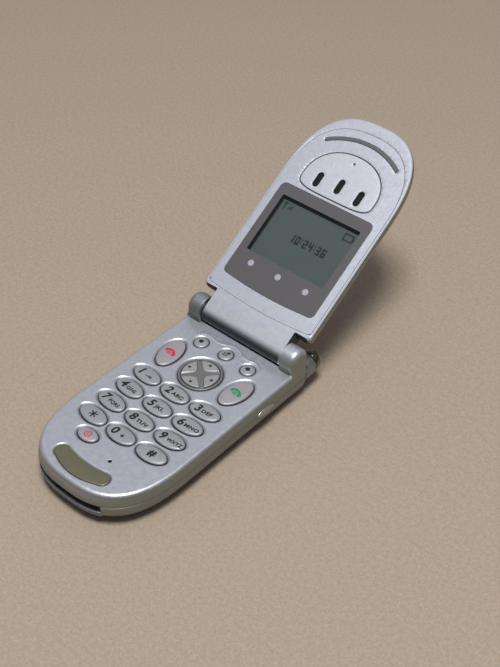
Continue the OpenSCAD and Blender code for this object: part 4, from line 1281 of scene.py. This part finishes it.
ln = Soup()
win = rrect(-15.7, 15.7, 23.25, 45.05, 0.45)
rows = [ring3(ccw(lens_outline(d)), w) for d, w in ((0.0, 2.1), (0.0, 2.78), (-0.04, 2.83), (-0.12, LW))]
v, f = loft(rows)
ln.add(v, f, 0)
v, f = fill(rows[-1][:, :2], [win], LW, spots_in(1.5, rows[-1], [win], 0.5))
ln.add(v, f, 0)
v, f = loft([ring3(win, LW), ring3(offset_closed(win, 0.02), 2.0), ring3(offset_closed(win, 0.02), 1.08)])
ln.add(v, f, 1)
ob = ln.make("lens_print", [M["lens"], M["void"]], merge=0.002, angle=40)
finish_lid(ob, ["display_lens"])
cw = Soup()
v, f = fill(rrect(-15.7, 15.7, 23.25, 45.05, 0.45), [], 2.8)
cw.add(v, f, 0)
ob = cw.make("lens_window", [M["clear"]], merge=0, weighted=False)
finish_lid(ob)
dt = Soup()
for x in (-11.2, 0.0, 11.2):
    n = 36
    rows = [ring3(oval(r, r, n, x, 19.65), w) for r, w in ((1.08, LW + 0.004), (1.04, LW + 0.015), (0.95, LW + 0.02))]
    v, f = loft(rows, cap1=True)
    dt.add(v, f, 0)
ob = dt.make("lens_dots", [M["lens_dot"]], merge=0, weighted=False)
finish_lid(ob)

# display marks: battery frame, signal mark, a clock reading in plain digits
mk = Soup()
flat = lambda x, y: np.full(np.shape(x), 1.1)
bx0, bx1, by0, by1 = 10.5, 14.2, 40.6, 43.3
for q in ((bx0, by0, bx1, by0 + 0.5), (bx0, by1 - 0.5, bx1, by1), (bx0, by0, bx0 + 0.5, by1),
          (bx1 - 0.5, by0, bx1, by1), (bx1, by0 + 0.7, bx1 + 0.5, by1 - 0.7)):
    put_shape(mk, [(q[0], q[1]), (q[2], q[1]), (q[2], q[3]), (q[0], q[3])], (0, 0), 0, flat, lift=0.03)
put_shape(mk, [(-14.06, 41.0), (-13.54, 41.0), (-13.54, 43.6), (-14.06, 43.6)], (0, 0), 0, flat, lift=0.03)
put_shape(mk, [(-14.7, 43.7), (-13.8, 42.5), (-12.9, 43.7)], (0, 0), 0, flat, lift=0.032)
for i, h in enumerate((0.7, 1.2, 1.7)):
    put_shape(mk, [(-12.5 + i * 0.62, 41.6), (-12.08 + i * 0.62, 41.6), (-12.08 + i * 0.62, 41.6 + h), (-12.5 + i * 0.62, 41.6 + h)],
              (0, 0), 0, flat, lift=0.03)
# seven-bar digits
SEG = {"0": "abcdef", "1": "bc", "2": "abged", "3": "abgcd", "4": "fgbc", "5": "afgcd", "6": "afgedc",
       "7": "abc", "8": "abcdefg", "9": "abcdfg"}


def bars(ch, x, y, wd, ht, t):
    B = {"a": (x, y + ht - t, x + wd, y + ht), "d": (x, y, x + wd, y + t),
         "g": (x, y + ht / 2 - t / 2, x + wd, y + ht / 2 + t / 2),
         "f": (x, y + ht / 2, x + t, y + ht), "b": (x + wd - t, y + ht / 2, x + wd, y + ht),
         "e": (x, y, x + t, y + ht / 2), "c": (x + wd - t, y, x + wd, y + ht / 2)}
    for s_ in SEG[ch]:
        x0, y0, x1, y1 = B[s_]
        put_shape(mk, [(x0, y0), (x1, y0), (x1, y1), (x0, y1)], (0, 0), 0, flat, lift=0.03 + 0.0002 * ord(s_) % 7 * 1e-3)


x = -5.4
for ch in "10:24:36":
    if ch == ":":
        for yy in (33.1, 34.3):
            put_shape(mk, [(x, yy), (x + 0.48, yy), (x + 0.48, yy + 0.48), (x, yy + 0.48)], (0, 0), 0, flat, lift=0.03)
        x += 1.0
    else:
        bars(ch, x, 32.2, 1.62, 3.0, 0.6)
        x += 2.12
ob = mk.make("display_marks", [M["lcd_ink"]], merge=0, weighted=False)
finish_lid(ob)
# painted shadow: black strips inside the window at the far and left sides, where the recess wall is seen in deep shade
ge = Soup()
for x0, x1, y0, y1 in ((-15.72, 15.72, 44.25, 45.07), (-15.72, -15.3, 23.2, 44.25)):
    ge.add([(x0, y0, 1.15), (x1, y0, 1.15), (x1, y1, 1.15), (x0, y1, 1.15),
            (x0, y0, 1.06), (x1, y0, 1.06), (x1, y1, 1.06), (x0, y1, 1.06)],
           [(0, 1, 2, 3), (0, 4, 5, 1), (1, 5, 6, 2), (2, 6, 7, 3), (3, 7, 4, 0)], 0)
ob = ge.make("window_recess_shadow", [M["void"]], merge=0, weighted=False)
finish_lid(ob)

# ear pad with three slots
ep = Soup()
rows = [ring3(ccw(ear_outline(d)), w) for d, w in ((0.0, 2.2), (0.0, 2.8), (-0.04, 2.88), (-0.12, 2.915), (-0.24, 2.925))]
v, f = loft(rows)
ep.add(v, f, 2)
eo_ = rows[-1][:, :2]
slots = []
for cx, cy in ((-8, 54.6), (0.1, 55.4), (8.4, 54.5)):
    q = np.vstack([arc(cx, cy + 1.6, 1.1, 0, 180, 17), arc(cx, cy - 1.6, 1.1, 180, 360, 17)])
    slots.append(q)
tiny = oval(0.36, 0.36, 20, 0, 64.4)
cz = lambda x, y: 2.925 + 0.05 * np.clip(poly_dist(np.stack([x, y], 1), eo_, closed=True) / 5, 0, 1) ** 0.7
tops = [offset_closed(q, 0.26) for q in slots] + [offset_closed(tiny, 0.08)]
g = np.stack(np.meshgrid(np.arange(-14, 14.1, 1.1), np.arange(50, 67, 1.0)), -1).reshape(-1, 2)
ok = inside(g, eo_) & (poly_dist(g, eo_, closed=True) > 0.5)
for t in tops:
    ok &= ~inside(g, t) & (poly_dist(g, t, closed=True) > 0.4)
v, f = fill(eo_, tops, cz, g[ok])
ep.add(v, f, 0)
for q, t, wd in zip(slots + [tiny], tops, (0.26, 0.26, 0.26, 0.08)):
    z0 = cz(t[:, 0], t[:, 1])
    r_ = [ring3(t, z0), ring3(offset_closed(q, wd * 0.55), z0 - 0.03), ring3(offset_closed(q, wd * 0.2), z0 - 0.11),
          ring3(q, z0 - 0.25)]
    v, f = loft(r_)
    ep.add(v, f, 2)
    v, f = loft([r_[-1], ring3(q, 2.25)], cap1=True)
    ep.add(v, f, 1)
ob = ep.make("ear_plate", [M["ear"], M["void"], M["lid_edge"]], merge=0.002, angle=40)
finish_lid(ob, ["ear_pad"])

# rubber strip
sp_ = Soup()
rows = [ring3(ccw(strip_outline(w)), z) for w, z in ((0.66, 2.4), (0.66, 2.78), (0.63, 2.88), (0.55, 2.96), (0.4, 3.01), (0.18, 3.03))]
v, f = loft(rows, cap1=True)
sp_.add(v, f, 0)
ob = sp_.make("lid_bumper", [M["strip"]], merge=0.002, angle=70)
finish_lid(ob, ["lid_strip"])

# ---------------------------------------------------------------- rear housing and battery cover
def boolean(ob, cutter, op="DIFFERENCE"):
    m = ob.modifiers.new("cut", "BOOLEAN")
    m.operation = op
    m.solver = "EXACT"
    m.object = cutter
    bpy.context.view_layer.update()
    dg = bpy.context.evaluated_depsgraph_get()
    me = bpy.data.meshes.new_from_object(ob.evaluated_get(dg))
    ob.modifiers.clear()
    old = ob.data
    ob.data = me
    bpy.data.meshes.remove(old)
    bpy.data.objects.remove(cutter)
    return ob


def boxes(items, name="cutter", mat=None):
    s = Soup()
    for x0, x1, y0, y1, z0, z1 in items:
        v = [(x0, y0, z0), (x1, y0, z0), (x1, y1, z0), (x0, y1, z0), (x0, y0, z1), (x1, y0, z1), (x1, y1, z1), (x0, y1, z1)]
        s.add(v, [(3, 2, 1, 0), (4, 5, 6, 7), (0, 1, 5, 4), (1, 2, 6, 5), (2, 3, 7, 6), (3, 0, 4, 7)], 0)
    ob = mesh_obj(name, np.vstack(s.v), s.f, mats=[mat or M["side"]], smooth=False)
    return ob


def low_hull(name, z_top, mats, groove=True):
    zs = [0.0, 0.06, 0.2, 0.45, 0.75, 1.15, 1.6, 2.2, 3.0, 3.8, 4.6, 5.4, 6.2, 6.9, 7.4]
    zs = [z for z in zs if z < z_top - 0.25] + ([z_top - 0.2, z_top - 0.06, z_top] if groove else [z_top])
    rows = []
    for i, z in enumerate(zs):
        a, b, yb = lo_at(z)
        d = 0.0
        if groove:
            d = {z_top: -0.13, z_top - 0.06: -0.04}.get(z, 0.0)
        rows.append(ring3(full_ring(a + d, b + d, yb + d), z))
    bottom = ccw(rows[0][:, :2])
    v, f = loft(rows, cap0=True, cap1=True)
    ob = mesh_obj(name, v, f, mats=mats)
    tidy(ob, merge=0.002, weighted=False)
    return ob


rear = low_hull("rear_shell", 7.97, [M["side"], M["void"]])
cut = [(-30, 30, -60, 26.0, -1, 3.58),            # the cover's share
       (-17.4, 17.4, -22.5, 24.5, 0, 5.8),        # battery bay
       (-12.5, 12.5, -46, -33.0, 5.3, 9.0),       # connector mouth
       (-5.2, 5.2, 27.0, 31.0, -1, 3.3),          # latch room
       (-3.2, 3.2, 24.2, 27.2, 1.15, 3.7)]
for c_ in cut:
    boolean(rear, boxes([c_], mat=M["void"] if c_[5] > 8 else M["side"]))
v, f = loft([ring3(full_ring(21.0, 28.0, 39.2), 6.6), ring3(full_ring(21.0, 28.0, 39.2), 9.0)], cap0=True, cap1=True)
boolean(rear, mesh_obj("cutter", v, f, mats=[M["void"]], smooth=False))
for p in ((-16, 36.4), (11.6, 36.4)):
    n = 32
    rows = [ring3(oval(1.75, 1.75, n, *p), -1), ring3(oval(1.75, 1.75, n, *p), 4.3)]
    v, f = loft(rows, cap0=True, cap1=True)
    boolean(rear, mesh_obj("cutter", v, f, mats=[M["side"]], smooth=False))
tidy(rear, merge=0.001, angle=32)
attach(rear, "base")
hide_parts("rear_housing")

# rounded lip under the connector mouth
xs = np.linspace(-12.5, 12.5, 110)
fade = np.clip((12.5 - np.abs(xs)) / 0.45, 0, 1) ** 0.5
def lip_y(x, b):
    return -12.5 - b * (1 - np.abs(x / 22.45) ** 2.8) ** (1 / 2.8)
rows = []
for d, z in ((-1.3, 3.62), (-0.75, 3.66), (-0.42, 3.8), (-0.28, 4.05), (-0.27, 4.3), (-0.38, 4.5), (-0.5, 4.64), (-0.36, 4.8),
             (-0.16, 4.94), (-0.1, 5.12), (-0.15, 5.3), (-0.3, 5.42), (-0.6, 5.47), (-2.6, 5.45)):
    hull = lo_at(z)[1] - 0.2
    y = lip_y(xs, hull + (29.78 + d - hull) * fade)
    rows.append(np.column_stack([xs, y, np.full(110, z)]))
v, f = loft(rows, closed=False)
lip_s = Soup()
lip_s.add(v, f, 0)
ob = lip_s.make("connector_lip", [M["lip"]], merge=0, angle=60)
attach(ob, "base")

cover = low_hull("cover_shell", 3.46, [M["side"]], groove=False)
boolean(cover, boxes([(-30, 30, 25.84, 60, -1, 6)]))
boolean(cover, boxes([(-17.6, 17.6, -24.5, 30, 1.1, 5)]))
ridges = [(-6.0 + abs(i) * 0.35, 6.0 - abs(i) * 0.35, 8.0 + i * 1.5 - 0.28, 8.0 + i * 1.5 + 0.28, -0.5, 0.28) for i in range(-3, 4)]
boolean(cover, boxes(ridges, mat=M["side"]))
boolean(cover, boxes([(-8.2, 8.2, 14.6, 14.9, -0.5, 0.14)]))
tidy(cover, merge=0.001, angle=32)
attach(cover, "battery_cover")
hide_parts("battery_cover")


# side keys
def side_key(name, body, sgn, yc, zc, hy, hz, x_wall, x_top, nubs=(), slack=0.03):
    n = 72
    out = Soup()
    rows = []
    for d, x in ((0, x_wall - 1.2), (0, x_wall + 0.02), (0.06, x_wall + (x_top - x_wall) * 0.45),
                 (0.2, x_wall + (x_top - x_wall) * 0.8), (0.42, x_top - 0.03)):
        q = oval(hy - d, hz - d, n, yc, zc)
        rows.append(np.column_stack([np.full(n, sgn * x), q]))
    for k in (0.7, 0.35):
        q = oval((hy - 0.42) * k, (hz - 0.42) * k, n, yc, zc)
        rows.append(np.column_stack([np.full(n, sgn * (x_top - 0.03 * k)), q]))
    v, f = loft(rows, cap1=True)
    out.add(v, f, 0)
    for ny in nubs:
        r_ = [np.column_stack([np.full(20, sgn * (x_top - 0.04 + h)), oval(0.42 - d, 0.42 - d, 20, ny, zc)])
              for d, h in ((0, -0.05), (0.04, 0.03), (0.16, 0.06))]
        v, f = loft(r_, cap1=True)
        out.add(v, f, 0)
    ob = out.make(name, [M["chrome"]], merge=0.001, angle=60)
    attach(ob, body)
    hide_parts(body)
    # painted shade: a dark oval ring round the key, standing in for the shade in the gap around it
    gap_ring = Soup()
    r_ = [np.column_stack([np.full(n, sgn * x), oval(hy + d, hz + d, n, yc, zc)])
          for d, x in ((0.34, x_wall - 0.04), (0.26, x_wall + 0.035), (max(0.1, slack), x_wall - 0.05), (slack, x_wall - 0.5))]
    v, f = loft(r_)
    gap_ring.add(v, f, 0)
    ob = gap_ring.make(name + "_gap_shade", [M["key_side"]], merge=0, angle=80)
    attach(ob, "base")


side_key("side_button", "voice_key", 1, 19.8, 8.0, 3.9, 1.35, 22.5, 22.88)
side_key("side_rocker", "volume_rocker", -1, 19.5, 8.0, 6.9, 1.15, 22.5, 22.86, nubs=(), slack=0.15)


# antenna boss and tip, turned about their own axis
def turned(name, prof, mats, marks, body, rep, n=72, angle=50):
    out = Soup()
    t = np.linspace(0, 2 * math.pi, n, endpoint=False)
    rows = [np.column_stack([18.3 + r * np.cos(t), np.full(n, y), 7.6 + r * np.sin(t)]) for r, y in prof]
    for i in range(len(rows) - 1):
        v, f = loft([rows[i], rows[i + 1]])
        out.add(v, f, marks[i])
    ob = out.make(name, mats, merge=0.001, angle=angle)
    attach(ob, body)
    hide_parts(*rep)


turned("antenna_boss", [(3.9, 40.2), (3.9, 44.8), (3.86, 45.1), (3.74, 45.33), (3.5, 45.46), (3.2, 45.5), (3.1, 45.3), (2.9, 44.8), (0.7, 44.8)],
       [M["side"], M["void"]], [0, 0, 0, 0, 0, 0, 1, 1], "base", ["antenna_sleeve"])
turned("antenna_tip", [(0.7, 45.72), (3.3, 45.72), (3.6, 45.75), (3.73, 45.95), (3.75, 46.3), (3.74, 47.1), (3.66, 47.6), (3.5, 48.1), (3.2, 48.6), (2.8, 49.02),
                       (2.2, 49.42), (1.5, 49.68), (0.8, 49.79), (0.01, 49.8)],
       [M["gloss"], M["gold_rim"]], [0, 1, 0, 0, 0, 0, 0, 0, 0, 0, 0, 0, 0], "antenna", ["antenna_cap"])

# ---------------------------------------------------------------- floor, light, camera
floor_mat = material("pale_floor", srgb(176, 161, 143), 0.85, 0.0, var=0.13, scale=1500,
                     second=srgb(156, 141, 124), second_scale=700, second_amount=0.6,
                     bump=0.06, bump_scale=1300)
fv = [(-2600, -2600, 0), (2600, -2600, 0), (2600, 2600, 0), (-2600, 2600, 0)]
floor = mesh_obj("floor", fv, [(0, 1, 2, 3)], floor_mat, smooth=False)


def area(name, loc, target, size, power, colour=(1, 1, 1), size_y=None, spread=180):
    d = bpy.data.lights.new(name, "AREA")
    d.energy = power
    d.color = colour
    d.size = size
    if size_y:
        d.shape = "RECTANGLE"
        d.size_y = size_y
    d.spread = math.radians(spread)
    o = bpy.data.objects.new(name, d)
    o.location = loc
    o.rotation_euler = (Vector(target) - Vector(loc)).to_track_quat("-Z", "Y").to_euler()
    bpy.context.scene.collection.objects.link(o)
    return o


area("overhead", (0.17, -0.16, 1.05), (0, 0.02, 0.0), 0.3, 9.6, (1.0, 0.985, 0.96))
area("low_left", (-0.85, 0.65, 0.42), (0, 0.02, 0.02), 1.5, 1.0, (0.97, 0.99, 1.0))
world = bpy.data.worlds.new("studio")
bpy.context.scene.world = world
world.use_nodes = True
wn, wl = world.node_tree.nodes, world.node_tree.links
bg = wn["Background"]
wc = wn.new("ShaderNodeTexCoord")
ws = wn.new("ShaderNodeSeparateXYZ")
wl.new(wc.outputs["Generated"], ws.inputs[0])
ramp = wn.new("ShaderNodeValToRGB")
wl.new(ws.outputs["Z"], ramp.inputs[0])
e = ramp.color_ramp.elements
e[0].position, e[0].color = 0.0, (0.11, 0.11, 0.115, 1)
e[1].position, e[1].color = 1.0, (0.80, 0.82, 0.88, 1)
m1 = e.new(0.35)
m1.color = (0.19, 0.195, 0.21, 1)
m2 = e.new(0.66)
m2.color = (0.37, 0.38, 0.42, 1)
wl.new(ramp.outputs[0], bg.inputs[0])
bg.inputs[1].default_value = 0.48

AZ_C, EL_C, ROLL_C, DIST_C = map(math.radians, (39.7439259, 41.5081758, 1.36769876, 0))
DIST_C = 370.009323
tgt = Vector((-0.841238, 30.050269 + 9.5, 12.5))
back = Vector((math.sin(AZ_C) * math.cos(EL_C), -math.cos(AZ_C) * math.cos(EL_C), math.sin(EL_C)))
xa = Vector((0, 0, 1)).cross(back).normalized()
ya = back.cross(xa)
cr, sr = math.cos(ROLL_C), math.sin(ROLL_C)
x2, y2 = xa * cr + ya * sr, ya * cr - xa * sr
cam_d = bpy.data.cameras.new("camera")
cam_d.lens = 1150 * 36 / 667
cam_d.sensor_width = 36
cam_d.clip_start, cam_d.clip_end = 0.01, 20
cam = bpy.data.objects.new("camera", cam_d)
bpy.context.scene.collection.objects.link(cam)
loc = (tgt + back * DIST_C) * MM
mw = Matrix((x2, y2, back)).transposed().to_4x4()
mw.translation = loc
cam.matrix_world = mw
bpy.context.scene.camera = cam
vs = bpy.context.scene.view_settings
vs.view_transform = "Standard"
vs.look = "None"
vs.exposure = 0.0
vs.gamma = 1.0
